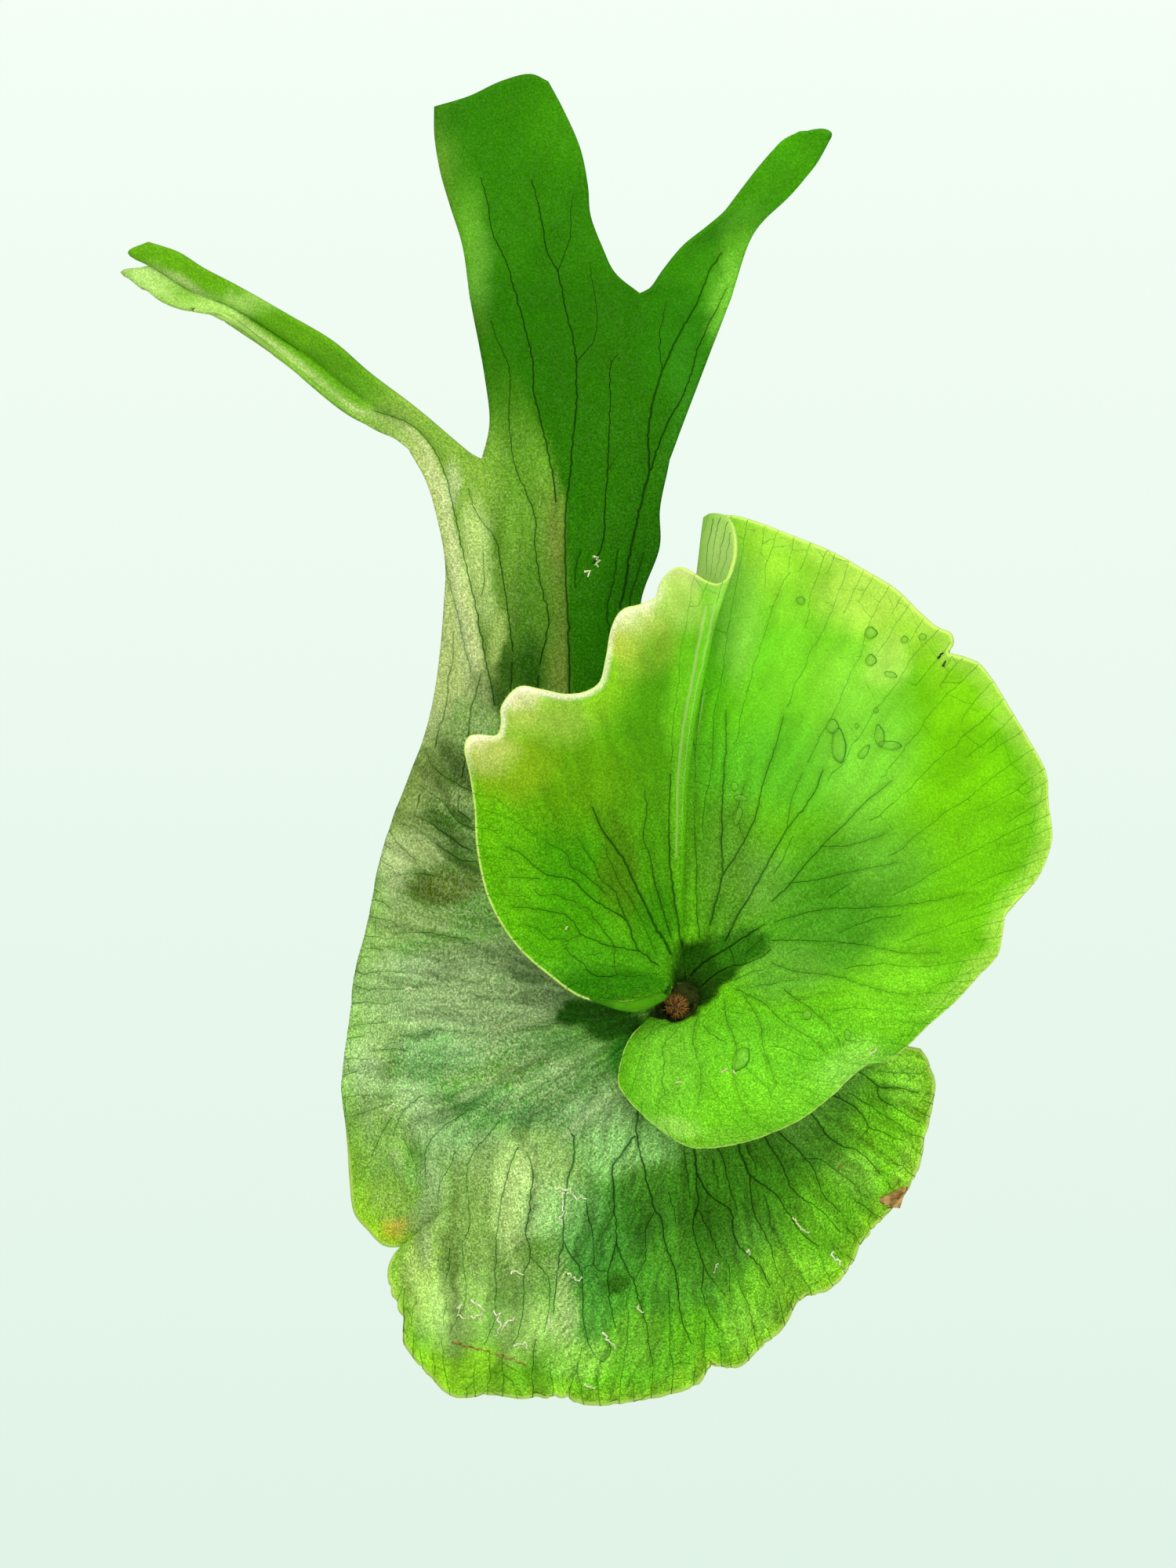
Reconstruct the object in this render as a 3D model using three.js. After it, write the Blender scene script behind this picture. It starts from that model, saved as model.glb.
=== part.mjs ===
// Mounted staghorn fern: an old frond (round shield below, three straps above) and a young
// kidney-shaped frond, both grown from one rhizome, which sits on a moss pad tied to a wooden board.
//
// Millimetres, +Z up. The wall is the plane y = 0 and the fern faces -Y.
// An outline point is [x, z, out]: x to the right, z up, out the distance in front of the wall.
import * as THREE from 'three';

// ---- Driving dimensions ----
const BOARD = { width: 78, height: 108, thickness: 14, corner: 8, bevel: 1 };
const MOSS = { x: 3, z: 5, radius: 31, rise: 21, roundness: 2.6, gap: 0.3 };
const TIE = { heights: [-14, 15], radius: 0.8, clearance: 1.8, holeRadius: 1.3, endOut: 3, steps: 36, sides: 8 };
const BLADE = { old: 0.9, young: 0.8 };
const CROWN = { x: 11, z: 8.5, out: 44, throat: 3.6 };
const BUD = { shoulder: 7, neck: 2.3, tip: 49.5 };
const PLEATS = { count: 17, height: 0.7 };
const STRAP_TROUGH = -4.5;
const LOBE_TROUGH = -1.6;

// Grid steps: how finely the blades are divided.
const SHIELD_RINGS = 7;
const NECK_STEPS = 9;
const FORK_STEPS = 4;
const STRIP_COLUMNS = 4;
const LOBE_STEPS = { strap: 12, central: 6, right: 7 };
const YOUNG_RINGS = 6;
const RELAX_PASSES = 2;
const CURVE_SAMPLES = 24;

// ---- Old frond ----
// Four flow lines rise from the gate above the shield to the fork: right edge, two inner lines, left edge.
const NECK_LINES = [
  [[10, 51, 41], [9, 64, 42], [6, 77, 43], [2.5, 89, 43], [6.5, 101.5, 44], [6.5, 109, 45], [8.5, 119, 46]],
  [[-4, 50, 43], [-6.5, 69, 45], [-7, 88, 47], [-6, 102.5, 48.5], [-5, 118, 50]],
  [[-30, 48, 37], [-28.5, 64, 40], [-27, 77, 42], [-27, 91, 44], [-27, 104, 45], [-29.5, 119, 46]],
  [[-47.5, 46.5, 26], [-44.5, 54.5, 29], [-40.5, 65.5, 33], [-38.5, 77, 37], [-37, 97.5, 40],
    [-38.5, 106.5, 41], [-40.5, 114.5, 41], [-45.5, 123.5, 40]],
];
// The first three go on, above the strap, to where the two upper lobes part.
const FORK_LINES = [
  [[8.5, 119, 46], [12, 128.5, 46], [18.5, 145.5, 45], [21, 152, 45]],
  [[-5, 118, 50], [-1.5, 135.5, 51], [2.5, 152.5, 52]],
  [[-29.5, 119, 46], [-28, 126.5, 48], [-29, 135.5, 51], [-32, 151.5, 54]],
];
const STRAP = {
  right: [[-29.5, 119, 46], [-31.5, 120, 46], [-35.5, 123.3, 45], [-41, 128, 44], [-52.5, 137, 41],
    [-60, 143.5, 38], [-69, 149, 34.5], [-81, 156, 29], [-87.5, 159.5, 27], [-92.5, 162.7, 26],
    [-99, 165, 24]],
  left: [[-45.5, 123.5, 40], [-51.5, 125.5, 39], [-58, 129, 38], [-71, 140, 33], [-83, 149.5, 29],
    [-87, 150, 28], [-91.5, 151.5, 26], [-98, 158, 23]],
  tip: [[-99, 165, 24], [-103, 163, 22], [-98.5, 160.5, 23], [-104.5, 159, 21], [-98, 158, 23]],
};
const CENTRAL_LOBE = {
  right: [[2.5, 152.5, 52], [-2.5, 156.5, 54], [-5, 161.5, 55], [-7.5, 168, 57], [-8, 173.5, 59],
    [-9.5, 181, 60.5], [-13, 189, 62], [-16, 194.5, 63]],
  left: [[-32, 151.5, 54], [-33.5, 162, 56], [-36, 170, 58], [-38, 177, 60], [-39, 184, 61],
    [-39, 189.5, 62]],
  tip: [[-16, 194.5, 63], [-19.5, 196, 63], [-25.5, 194.5, 63.5], [-32, 191.5, 63], [-39, 189.5, 62]],
};
const RIGHT_LOBE = {
  right: [[21, 152, 45], [25, 164.5, 47], [28, 168.5, 49], [33.5, 173, 53], [38, 178, 57],
    [40.5, 182.5, 60]],
  left: [[2.5, 152.5, 52], [4.5, 153.5, 52], [7, 157, 52], [11.3, 162, 53], [16.2, 165.8, 54],
    [19.5, 168.6, 54.5], [22.2, 172.2, 55], [27, 178.3, 57], [31.5, 183, 58], [35, 184.5, 59]],
  tip: [[40.5, 182.5, 60], [41.2, 184.2, 60.5], [40, 185, 60.5], [37.5, 185, 60], [35, 184.5, 59]],
};
// The shield's margin, down the left side, past the notch, along the hem and up to the right.
const SHIELD_MARGIN = [
  { columns: 12, points: [[-47.5, 46.5, 26], [-50, 40, 25], [-52.5, 28.5, 24], [-55, 17, 23],
    [-58, 0, 21], [-58.5, -9, 21], [-58, -19, 20], [-57.5, -28.5, 19], [-56, -36, 18]] },
  { columns: 8, points: [[-53, -39.5, 19], [-50, -42.5, 20.5], [-46.5, -42.5, 21.5], [-44.5, -43, 22],
    [-47, -44.5, 22.5], [-49, -48, 23]] },
  { columns: 18, points: [[-49, -51, 23.5], [-46.5, -58, 24], [-46, -63, 24], [-40, -70, 23],
    [-35.5, -73.5, 23], [-28.5, -73.5, 23], [-19.5, -74.5, 24], [-12.5, -74, 25], [-9.5, -75, 26],
    [5, -74, 25], [11.5, -73, 25]] },
  { columns: 20, points: [[15, -71, 25], [17.5, -67.5, 26], [23, -67, 27], [27, -63.5, 27],
    [32.5, -59, 27], [36, -54, 27], [42, -51, 27], [46.5, -44.5, 27], [50.5, -39.5, 27],
    [54, -35.5, 28], [57, -31.5, 28], [59.5, -26.5, 29], [61, -21.5, 29], [63, -15, 30],
    [62.5, -6.5, 31], [60, -2, 31]] },
];

// ---- Young frond ----
// Stretches run counterclockwise, from the loose end under the bud, round the right lobe, through the
// pleat at the top and down the left lobe to the curled end above the bud. Each stretch starts where
// the one before it ends.
const YOUNG_STRETCHES = [
  { columns: 8, // lower flap
    margin: [[5, 5, 46], [1, 1, 46.5], [-1, -4, 47], [-1.5, -8.5, 47.5], [3, -14, 48.5], [12, -20.5, 49.5]],
    waist: [[6.5, 4.6, 46.5], [4, 0, 50], [4.5, -4.5, 52.5], [9, -8, 54.5]],
    throat: [[7.5, 4.5, 46], [9, 4, 46], [10.5, 4, 46]] },
  { columns: 13, // hem
    margin: [[16, -21, 50], [22.5, -20, 50.5], [28.5, -18, 51], [35, -15, 52], [41.5, -10, 53],
      [45.5, -6, 54], [49, -3.5, 55.5], [52.5, -3, 56], [57, 0.5, 58], [61, 4.5, 60]],
    waist: [[16, -8.5, 56], [24, -5.5, 57], [31, -1, 57.5], [37.5, 5, 57.5]],
    throat: [[12, 4.5, 46], [13.5, 6, 46], [14.5, 7.5, 46]] },
  { columns: 14, // right side
    margin: [[66, 9, 62], [70.5, 14, 64], [74.5, 18.5, 65.5], [75.5, 23.5, 67], [76, 26.5, 67.5],
      [79, 30, 67], [82.5, 34, 67], [84.5, 38.5, 67.5], [85.3, 42.5, 68], [84.5, 49, 68.5],
      [84, 55, 69.5]],
    waist: [[43, 13, 58.5], [47, 23, 59], [49, 32, 59.5]],
    throat: [[15, 9, 46], [15, 10, 46]] },
  { columns: 24, // upper right, with the small torn notch
    margin: [[80.5, 61.5, 71], [76.5, 68, 73], [73, 73.5, 74.5], [70, 77, 75.5], [66, 78.5, 76],
      [64, 79, 76], [65, 81, 76.5], [64.5, 83, 76.5], [62, 84, 76], [58, 87.5, 74.5], [53.5, 92, 72.5],
      [47, 96, 70], [41, 99.5, 67.5], [31.5, 103.5, 64], [25, 106, 62], [21.5, 107, 60.5]],
    waist: [[47, 41, 60], [43, 49, 60], [37, 55.5, 59], [29, 59.5, 57], [21, 61, 55], [16, 60, 53]],
    throat: [[14.5, 11, 46], [13, 12.3, 46]] },
  { columns: 14, // pleat: back turn, pale middle layer, crest
    margin: [[17.5, 107, 60], [15.6, 106.5, 62], [17, 107.3, 65], [20, 106.5, 68], [21.5, 103.5, 70.5],
      [21.5, 99, 72.5], [20.5, 95, 73], [18.5, 93, 72], [16, 93.5, 70]],
    waist: [[12, 59.5, 52.5], [9, 59.5, 53.5], [8.5, 59.5, 55.5], [11, 59, 58.5], [12.3, 58.5, 60.5],
      [11.5, 58, 62], [9, 57.5, 62]],
    throat: [[12.3, 12.5, 46], [11, 12.6, 46]] },
  { columns: 24, // toothed top of the left lobe
    margin: [[13.5, 95, 69], [10.5, 96.5, 68], [7.5, 94.5, 67], [6, 90.5, 66], [2.5, 89, 65],
      [-1, 88, 65], [-3, 84.5, 64], [-4, 79, 63], [-5.5, 73.5, 62], [-8.5, 71.5, 62], [-12.5, 71, 62],
      [-17.5, 72, 61.5], [-22, 72.5, 61], [-25.5, 68.5, 60], [-25.5, 65.5, 59], [-26.5, 62.5, 59],
      [-32, 62.5, 60]],
    waist: [[5.5, 56.5, 60.5], [1, 54, 59], [-3.5, 50, 57.5], [-8, 44, 56]],
    throat: [[10, 12.3, 46.5], [9.5, 12, 46.8]] },
  { columns: 20, // rounded side of the left lobe
    margin: [[-33, 60.5, 60], [-32, 55, 59], [-31, 48, 58], [-30.5, 39.5, 57], [-28, 29, 56],
      [-22.5, 20, 55], [-16, 14, 54], [-9.5, 9.5, 53], [-4.5, 8.5, 53], [1, 8.5, 53], [6.5, 9.8, 53],
      [8.5, 12.5, 53]],
    waist: [[-10, 36, 54.5], [-9, 27, 53], [-5, 19, 51.5], [1, 14.5, 50.5], [6, 12.2, 50],
      [8.6, 12.2, 50.2]],
    throat: [[9.1, 11.6, 47.2], [9, 11.2, 47.6]] },
];

// ---- Small helpers ----
const place = ([x, z, out]) => new THREE.Vector3(x, -out, z);
const smoothCurve = points => new THREE.CatmullRomCurve3(points.map(place));
const fade = t => t * t * (3 - 2 * t);

function material(color, roughness) {
  return new THREE.MeshStandardMaterial({ color, roughness, metalness: 0 });
}

// Points along one curve that passes through all the stretches, evenly spaced within each of them.
function pointsAlong(stretches) {
  const points = stretches.flatMap(stretch => stretch.points);
  const curve = smoothCurve(points);
  curve.arcLengthDivisions = (points.length - 1) * CURVE_SAMPLES;
  const lengths = curve.getLengths();
  const total = lengths.at(-1);
  const row = [];
  let last = 0;
  let seen = 0;
  for (const { points: part, columns } of stretches) {
    seen += part.length;
    const first = last;
    last = seen - 1;
    const from = lengths[first * CURVE_SAMPLES];
    const to = lengths[last * CURVE_SAMPLES];
    for (let i = 0; i < columns; i += 1) {
      row.push(curve.getPointAt((from + (to - from) * i / columns) / total));
    }
  }
  row.push(curve.getPoint(1));
  return row;
}

// ---- A blade: an open sheet of welded grids, given a thickness at the end ----
class Blade {
  constructor() {
    this.points = [];
    this.faces = [];
    this.lookup = new Map();
  }

  vertex(point) {
    const key = point.toArray().map(value => Math.round(value * 1000)).join();
    if (!this.lookup.has(key)) {
      this.lookup.set(key, this.points.length);
      this.points.push(point.clone());
    }
    return this.lookup.get(key);
  }

  // Rows run outward along the growth, columns from right to left, so that faces look at the viewer.
  addGrid(rows) {
    const index = rows.map(row => row.map(point => this.vertex(point)));
    for (let j = 0; j + 1 < index.length; j += 1) {
      for (let i = 0; i + 1 < index[j].length; i += 1) {
        const [a, b, c, d] = [index[j][i], index[j + 1][i], index[j + 1][i + 1], index[j][i + 1]];
        this.addFace(a, b, c);
        this.addFace(a, c, d);
      }
    }
  }

  addFace(a, b, c) {
    if (a !== b && b !== c && a !== c) {
      this.faces.push([a, b, c]);
    }
  }

  // Edges with a face on one side only, in that face's direction.
  rim() {
    const edges = new Map();
    for (const [a, b, c] of this.faces) {
      for (const [from, to] of [[a, b], [b, c], [c, a]]) {
        if (!edges.delete(`${to} ${from}`)) {
          edges.set(`${from} ${to}`, [from, to]);
        }
      }
    }
    return [...edges.values()];
  }

  // Evens out the blade's depth where its grids meet. The outline as seen from the front stays.
  relax(passes) {
    const rimPoints = new Set(this.rim().flat());
    const near = this.points.map(() => new Set());
    for (const [a, b, c] of this.faces) {
      near[a].add(b).add(c);
      near[b].add(a).add(c);
      near[c].add(a).add(b);
    }
    for (let pass = 0; pass < passes; pass += 1) {
      const depths = this.points.map(point => point.y);
      this.points.forEach((point, i) => {
        if (!rimPoints.has(i)) {
          const mean = [...near[i]].reduce((sum, n) => sum + depths[n], 0) / near[i].size;
          point.y = (depths[i] + mean) / 2;
        }
      });
    }
  }

  normals() {
    const normals = this.points.map(() => new THREE.Vector3());
    for (const face of this.faces) {
      const [a, b, c] = face.map(i => this.points[i]);
      const normal = b.clone().sub(a).cross(c.clone().sub(a));
      face.forEach(i => normals[i].add(normal));
    }
    return normals.map(normal => normal.normalize());
  }

  thicken(thickness) {
    const half = thickness / 2;
    const normals = this.normals();
    const front = this.points.map((point, i) => point.clone().addScaledVector(normals[i], half));
    const back = this.points.map((point, i) => point.clone().addScaledVector(normals[i], -half));
    const step = this.points.length;
    const faces = this.faces.flatMap(([a, b, c]) => [[a, b, c], [c + step, b + step, a + step]]);
    for (const [a, b] of this.rim()) {
      faces.push([b, a, a + step], [b, a + step, b + step]);
    }
    const geometry = new THREE.BufferGeometry().setFromPoints([...front, ...back]);
    geometry.setIndex(faces.flat());
    return geometry;
  }
}

// ---- Old frond: shield, neck and three lobes in one blade ----

// One row across the frond, from its rightmost flow line to its leftmost.
function rowAcross(lines, t) {
  const across = new THREE.CatmullRomCurve3(lines.map(line => line.getPointAt(t)));
  const columns = (lines.length - 1) * STRIP_COLUMNS;
  return Array.from({ length: columns + 1 }, (_, i) => across.getPoint(i / columns));
}

function ribbon(lines, steps) {
  const curves = lines.map(smoothCurve);
  return Array.from({ length: steps + 1 }, (_, j) => rowAcross(curves, j / steps));
}

// A lobe fills the four sides: the row it grows from, its two edges and its tip.
function lobe(root, { right, left, tip }, steps, trough) {
  const edges = { right: smoothCurve(right), left: smoothCurve(left), tip: smoothCurve(tip) };
  const columns = root.length - 1;
  const corner = [root[0], root.at(-1), edges.tip.getPoint(0), edges.tip.getPoint(1)];
  return Array.from({ length: steps + 1 }, (_, j) => {
    const v = j / steps;
    const [rightPoint, leftPoint] = [edges.right.getPointAt(v), edges.left.getPointAt(v)];
    return root.map((rootPoint, i) => {
      const u = i / columns;
      const point = rootPoint.clone().multiplyScalar(1 - v)
        .addScaledVector(edges.tip.getPoint(u), v)
        .addScaledVector(rightPoint, 1 - u)
        .addScaledVector(leftPoint, u)
        .addScaledVector(corner[0], -(1 - u) * (1 - v))
        .addScaledVector(corner[1], -u * (1 - v))
        .addScaledVector(corner[2], -(1 - u) * v)
        .addScaledVector(corner[3], -u * v);
      point.y -= trough * Math.sin(Math.PI * u) * fade(Math.min(1, 3 * v)) * (1 - v * v);
      return point;
    });
  });
}

// The shield: rays from the crown to its outer row, domed toward the viewer and pleated near its margin.
function shieldFan(outerRow) {
  const crown = place([CROWN.x, CROWN.z, CROWN.out]);
  return Array.from({ length: SHIELD_RINGS + 1 }, (_, j) => {
    const s = j / SHIELD_RINGS;
    return outerRow.map(outer => {
      const flat = new THREE.Vector3(outer.x - crown.x, 0, outer.z - crown.z);
      const reach = THREE.MathUtils.lerp(CROWN.throat, flat.length(), s);
      const point = flat.normalize().multiplyScalar(reach).add(crown);
      point.y = THREE.MathUtils.lerp(crown.y, outer.y, s * s);
      return point;
    });
  });
}

function pleatShield(blade) {
  for (const point of blade.points) {
    const dx = point.x - CROWN.x;
    const dz = point.z - CROWN.z;
    const below = fade(THREE.MathUtils.clamp((30 - dz) / 30, 0, 1));
    const outward = fade(THREE.MathUtils.clamp((Math.hypot(dx, dz) - 15) / 45, 0, 1));
    point.y -= PLEATS.height * below * outward * Math.sin(PLEATS.count * Math.atan2(dz, dx));
  }
}

function oldFrond() {
  const blade = new Blade();
  const neck = ribbon(NECK_LINES, NECK_STEPS);
  const fork = ribbon(FORK_LINES, FORK_STEPS);
  fork[0] = neck.at(-1).slice(0, 2 * STRIP_COLUMNS + 1);
  const gate = neck[0];
  const outerRow = [...gate.slice(0, -1), ...pointsAlong(SHIELD_MARGIN)];
  const forkTop = fork.at(-1);
  blade.addGrid(shieldFan(outerRow));
  blade.addGrid(neck);
  blade.addGrid(fork);
  blade.addGrid(lobe(neck.at(-1).slice(2 * STRIP_COLUMNS), STRAP, LOBE_STEPS.strap, STRAP_TROUGH));
  blade.addGrid(lobe(forkTop.slice(0, STRIP_COLUMNS + 1), RIGHT_LOBE, LOBE_STEPS.right, LOBE_TROUGH));
  blade.addGrid(lobe(forkTop.slice(STRIP_COLUMNS), CENTRAL_LOBE, LOBE_STEPS.central, LOBE_TROUGH));
  blade.relax(RELAX_PASSES);
  pleatShield(blade);
  return blade.thicken(BLADE.old);
}

// ---- Young frond: a fan that stands up round the bud, folded over itself at the top ----
function youngFrond() {
  const ring = name => pointsAlong(
    YOUNG_STRETCHES.map(stretch => ({ points: stretch[name], columns: stretch.columns })));
  const [throat, waist, margin] = [ring('throat'), ring('waist'), ring('margin')];
  const rows = Array.from({ length: YOUNG_RINGS + 1 }, (_, j) => {
    const s = j / YOUNG_RINGS;
    return margin.map((edge, i) => new THREE.Vector3()
      .addScaledVector(throat[i], (1 - s) * (1 - 2 * s))
      .addScaledVector(waist[i], 4 * s * (1 - s))
      .addScaledVector(edge, s * (2 * s - 1)));
  });
  const blade = new Blade();
  blade.addGrid(rows);
  return blade.thicken(BLADE.young);
}

// ---- Rhizome with its furry bud, which passes between the fronds ----
function rhizomeBud() {
  const foot = BOARD.thickness + MOSS.gap + MOSS.rise + MOSS.gap;
  const profile = [[0, foot], [BUD.shoulder - 1, foot], [BUD.shoulder, foot + 1.5], [BUD.shoulder - 1, 41],
    [BUD.neck + 0.8, 42.6], [BUD.neck, 44], [BUD.neck, 47], [BUD.neck - 0.9, BUD.tip - 0.8], [0, BUD.tip]];
  return new THREE.LatheGeometry(profile.map(([radius, out]) => new THREE.Vector2(radius, out)), 20);
}

// ---- Moss pad: a rounded dome round the roots ----
const mossRise = share => MOSS.rise * (1 - share ** MOSS.roundness) ** (1 / MOSS.roundness);

function mossPad() {
  const base = BOARD.thickness + MOSS.gap;
  const rings = 9;
  const profile = [new THREE.Vector2(0, base)];
  for (let i = 0; i <= rings; i += 1) {
    const share = Math.cos(i / rings * Math.PI / 2);
    profile.push(new THREE.Vector2(i === rings ? 0 : MOSS.radius * share, base + mossRise(share)));
  }
  return new THREE.LatheGeometry(profile, 36);
}

// ---- Ties: wire hoops over the moss, their ends in holes through the board ----
const tieReach = height => Math.sqrt(MOSS.radius ** 2 - height ** 2) + TIE.clearance;

function tieHoop(height) {
  const base = BOARD.thickness + MOSS.gap;
  const top = mossRise(Math.abs(height) / MOSS.radius) + TIE.clearance;
  const half = tieReach(height);
  const arcSteps = 10;
  const route = [[-half, TIE.endOut]];
  for (let i = 0; i <= arcSteps; i += 1) {
    const angle = Math.PI * i / arcSteps;
    const bend = 2 / MOSS.roundness;
    const side = -Math.sign(Math.cos(angle)) * Math.abs(Math.cos(angle)) ** bend;
    route.push([half * side, base + top * Math.sin(angle) ** bend]);
  }
  route.push([half, TIE.endOut]);
  const corners = route.map(([x, out]) => place([MOSS.x + x, MOSS.z + height, out]));
  const section = new THREE.Shape().absarc(0, 0, TIE.radius, 0, 2 * Math.PI, true);
  return new THREE.ExtrudeGeometry(section, {
    extrudePath: new THREE.CatmullRomCurve3(corners),
    steps: TIE.steps,
    curveSegments: TIE.sides / 2,
    bevelEnabled: false,
  });
}

// ---- Board: rounded corners, eased edges, four tie holes ----
function boardOutline() {
  const { width, height, corner, bevel } = BOARD;
  const [w, h] = [width / 2 - bevel, height / 2 - bevel];
  const shape = new THREE.Shape();
  shape.absarc(w - corner, h - corner, corner, 0, Math.PI / 2);
  shape.absarc(corner - w, h - corner, corner, Math.PI / 2, Math.PI);
  shape.absarc(corner - w, corner - h, corner, Math.PI, 1.5 * Math.PI);
  shape.absarc(w - corner, corner - h, corner, 1.5 * Math.PI, 2 * Math.PI);
  return shape;
}

function mountingBoard() {
  const { thickness, bevel } = BOARD;
  const shape = boardOutline();
  for (const height of TIE.heights) {
    for (const side of [-1, 1]) {
      const x = MOSS.x + side * tieReach(height);
      const z = MOSS.z + height;
      shape.holes.push(new THREE.Path().absarc(x, z, TIE.holeRadius + bevel, 0, 2 * Math.PI, true));
    }
  }
  return new THREE.ExtrudeGeometry(shape, {
    depth: thickness - 2 * bevel, bevelEnabled: true, bevelThickness: bevel, bevelSize: bevel,
    bevelSegments: 1, curveSegments: 6,
  }).translate(0, 0, bevel);
}

// ---- The fern, put together ----
const group = new THREE.Group();

function add(name, geometry, finish) {
  const mesh = new THREE.Mesh(geometry, finish);
  mesh.name = name;
  group.add(mesh);
  return mesh;
}

// The board is extruded along +Z, and the turned pieces stand on their +Y axis: both come to face the viewer.
add('mounting_board', mountingBoard(), material(0x9b7348, 0.7)).rotation.x = Math.PI / 2;
const moss = add('moss_pad', mossPad(), material(0x6f7434, 0.95));
moss.rotation.x = Math.PI;
moss.position.set(MOSS.x, 0, MOSS.z);
const bud = add('rhizome_bud', rhizomeBud(), material(0x6a3d17, 0.9));
bud.rotation.x = Math.PI;
bud.position.set(CROWN.x, 0, CROWN.z);
TIE.heights.forEach((height, i) => {
  add(i === 0 ? 'tie_wire_lower' : 'tie_wire_upper', tieHoop(height), material(0x3c4a2c, 0.5));
});
add('old_frond', oldFrond(), material(0x3f7f2a, 0.6));
add('young_frond', youngFrond(), material(0x6cc41c, 0.6));

export default group;
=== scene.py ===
import math
import random
from bisect import bisect_left

import bpy
from mathutils import Matrix, Vector, noise
from mathutils.kdtree import KDTree


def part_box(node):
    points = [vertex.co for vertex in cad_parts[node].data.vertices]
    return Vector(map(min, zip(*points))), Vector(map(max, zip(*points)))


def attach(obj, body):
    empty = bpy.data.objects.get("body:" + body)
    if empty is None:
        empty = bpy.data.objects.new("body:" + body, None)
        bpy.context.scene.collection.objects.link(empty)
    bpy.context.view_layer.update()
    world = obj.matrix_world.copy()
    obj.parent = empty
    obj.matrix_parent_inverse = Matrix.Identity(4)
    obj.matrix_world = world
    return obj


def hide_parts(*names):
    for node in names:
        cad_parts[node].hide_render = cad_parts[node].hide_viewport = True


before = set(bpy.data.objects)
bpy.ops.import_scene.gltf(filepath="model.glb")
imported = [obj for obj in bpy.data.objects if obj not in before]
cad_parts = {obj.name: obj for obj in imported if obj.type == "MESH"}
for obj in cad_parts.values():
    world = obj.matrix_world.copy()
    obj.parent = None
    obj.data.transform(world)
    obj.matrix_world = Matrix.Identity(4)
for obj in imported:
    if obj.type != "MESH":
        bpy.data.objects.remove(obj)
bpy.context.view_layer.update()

# The smooth noise in the paint starts from this seed, so that each run gives the same picture.
PAINT_SEED = 4
noise.seed_set(PAINT_SEED)

# Mounted staghorn fern. Places are [x, z, out] in millimetres: x to the viewer's right, z up and out the
# distance in front of the wall, which is the plane y = 0. MM turns them into metres.
MM = 0.001

# ---- View: the photograph's frame, 1500 x 2000 pixels of 0.16 mm at the fronds ----
PIXEL = 0.16 * MM
FRAME_MIDDLE = (750, 1000)
FRAME_HEIGHT = 2000 * PIXEL
VIEW_DISTANCE = 1500 * MM
VIEW_POINT = Vector((-8, -1545, 52.8)) * MM
SENSOR_HEIGHT = 24

# ---- Sizes shared with the solids ----
BOARD_THICKNESS = 14
MOSS = {"x": 3, "z": 5, "radius": 31, "rise": 21, "roundness": 2.6, "gap": 0.3}
CROWN = [11, 8.5, 44]
THROAT = 3.6
BLADE_OLD = 0.9
BLADE_YOUNG = 0.8
PLEATS = {"count": 17, "height": 0.7}
STRAP_TROUGH = -4.5
LOBE_TROUGH = -1.6

# ---- How finely the blades are divided ----
SHIELD_RINGS = 60
NECK_STEPS = 74
FORK_STEPS = 34
STRIP_COLUMNS = 20
LOBE_STEPS = {"strap": 72, "central": 42, "right": 42}
MARGIN_STEP = 0.86
YOUNG_STEP = 1.0
YOUNG_RINGS = 66
CURVE_SAMPLES = 24
RELAX_PASSES = 90
HEM_GRID = (60, 6)
HEM_THICKNESS = 0.45
CORNER_GRID = (24, 14)
CORNER_THICKNESS = 0.3

# ---- The strap's root, in pixels: where it is rounded in full and not at all, and the mean's reach ----
STRAP_ROOT = (562, 575, 45, 100)
STRAP_ROOT_REACH = 30

# ---- Scallops along the shield's lower margin ----
SCALLOP_LENGTH = 3.3
SCALLOP_DEPTH = 0.75

# ---- Veins: their thickness against the lists', and how far fine ones keep from drawn ones ----
VEIN_BREADTH = 0.96
VEIN_CLEARANCE = 1.6
OLD_CORD_LIFTS = (0.45, -0.45)
YOUNG_CORD_LIFTS = (0.4, -0.4)
CREST_LIFTS = (0.16, -0.16)

# ---- Fine veins in millimetres: the gap between them at the crown, how much more it is further out, and
# at the margin, the ways over which it changes, and how thick they and their cross links are ----
OLD_FINE = {"gap": 2.6, "more_gap": 4.6, "out": 38, "margin_gap": 2.8, "close": (2, 16),
            "thin": 0.1, "thicker": 0.08, "swell": (4, 60), "link": 0.08}
YOUNG_FINE = {"gap": 2.2, "more_gap": 4.8, "out": 34, "margin_gap": 3.0, "close": (4, 18),
              "thin": 0.07, "thicker": 0.05, "swell": (10, 60), "link": 0.06}

# ---- The bud's middle as [x, z, out] ----
BUD_MIDDLE = [9.7, 7.2, 0]

# ---- Hairs: how many, and their least and greatest length and their thickness in millimetres ----
MARGIN_DOWN = {"each": 3, "length": (0.35, 0.75), "thickness": 0.03}
CREST_DOWN = {"each": 3, "length": (0.35, 0.7), "thickness": 0.05}
BUD_FUR = {"count": 520, "length": (1.0, 2.0), "thickness": 0.1}
MOSS_STRANDS = {"count": 1500, "length": (1.8, 4.0), "thickness": 0.22}

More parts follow.
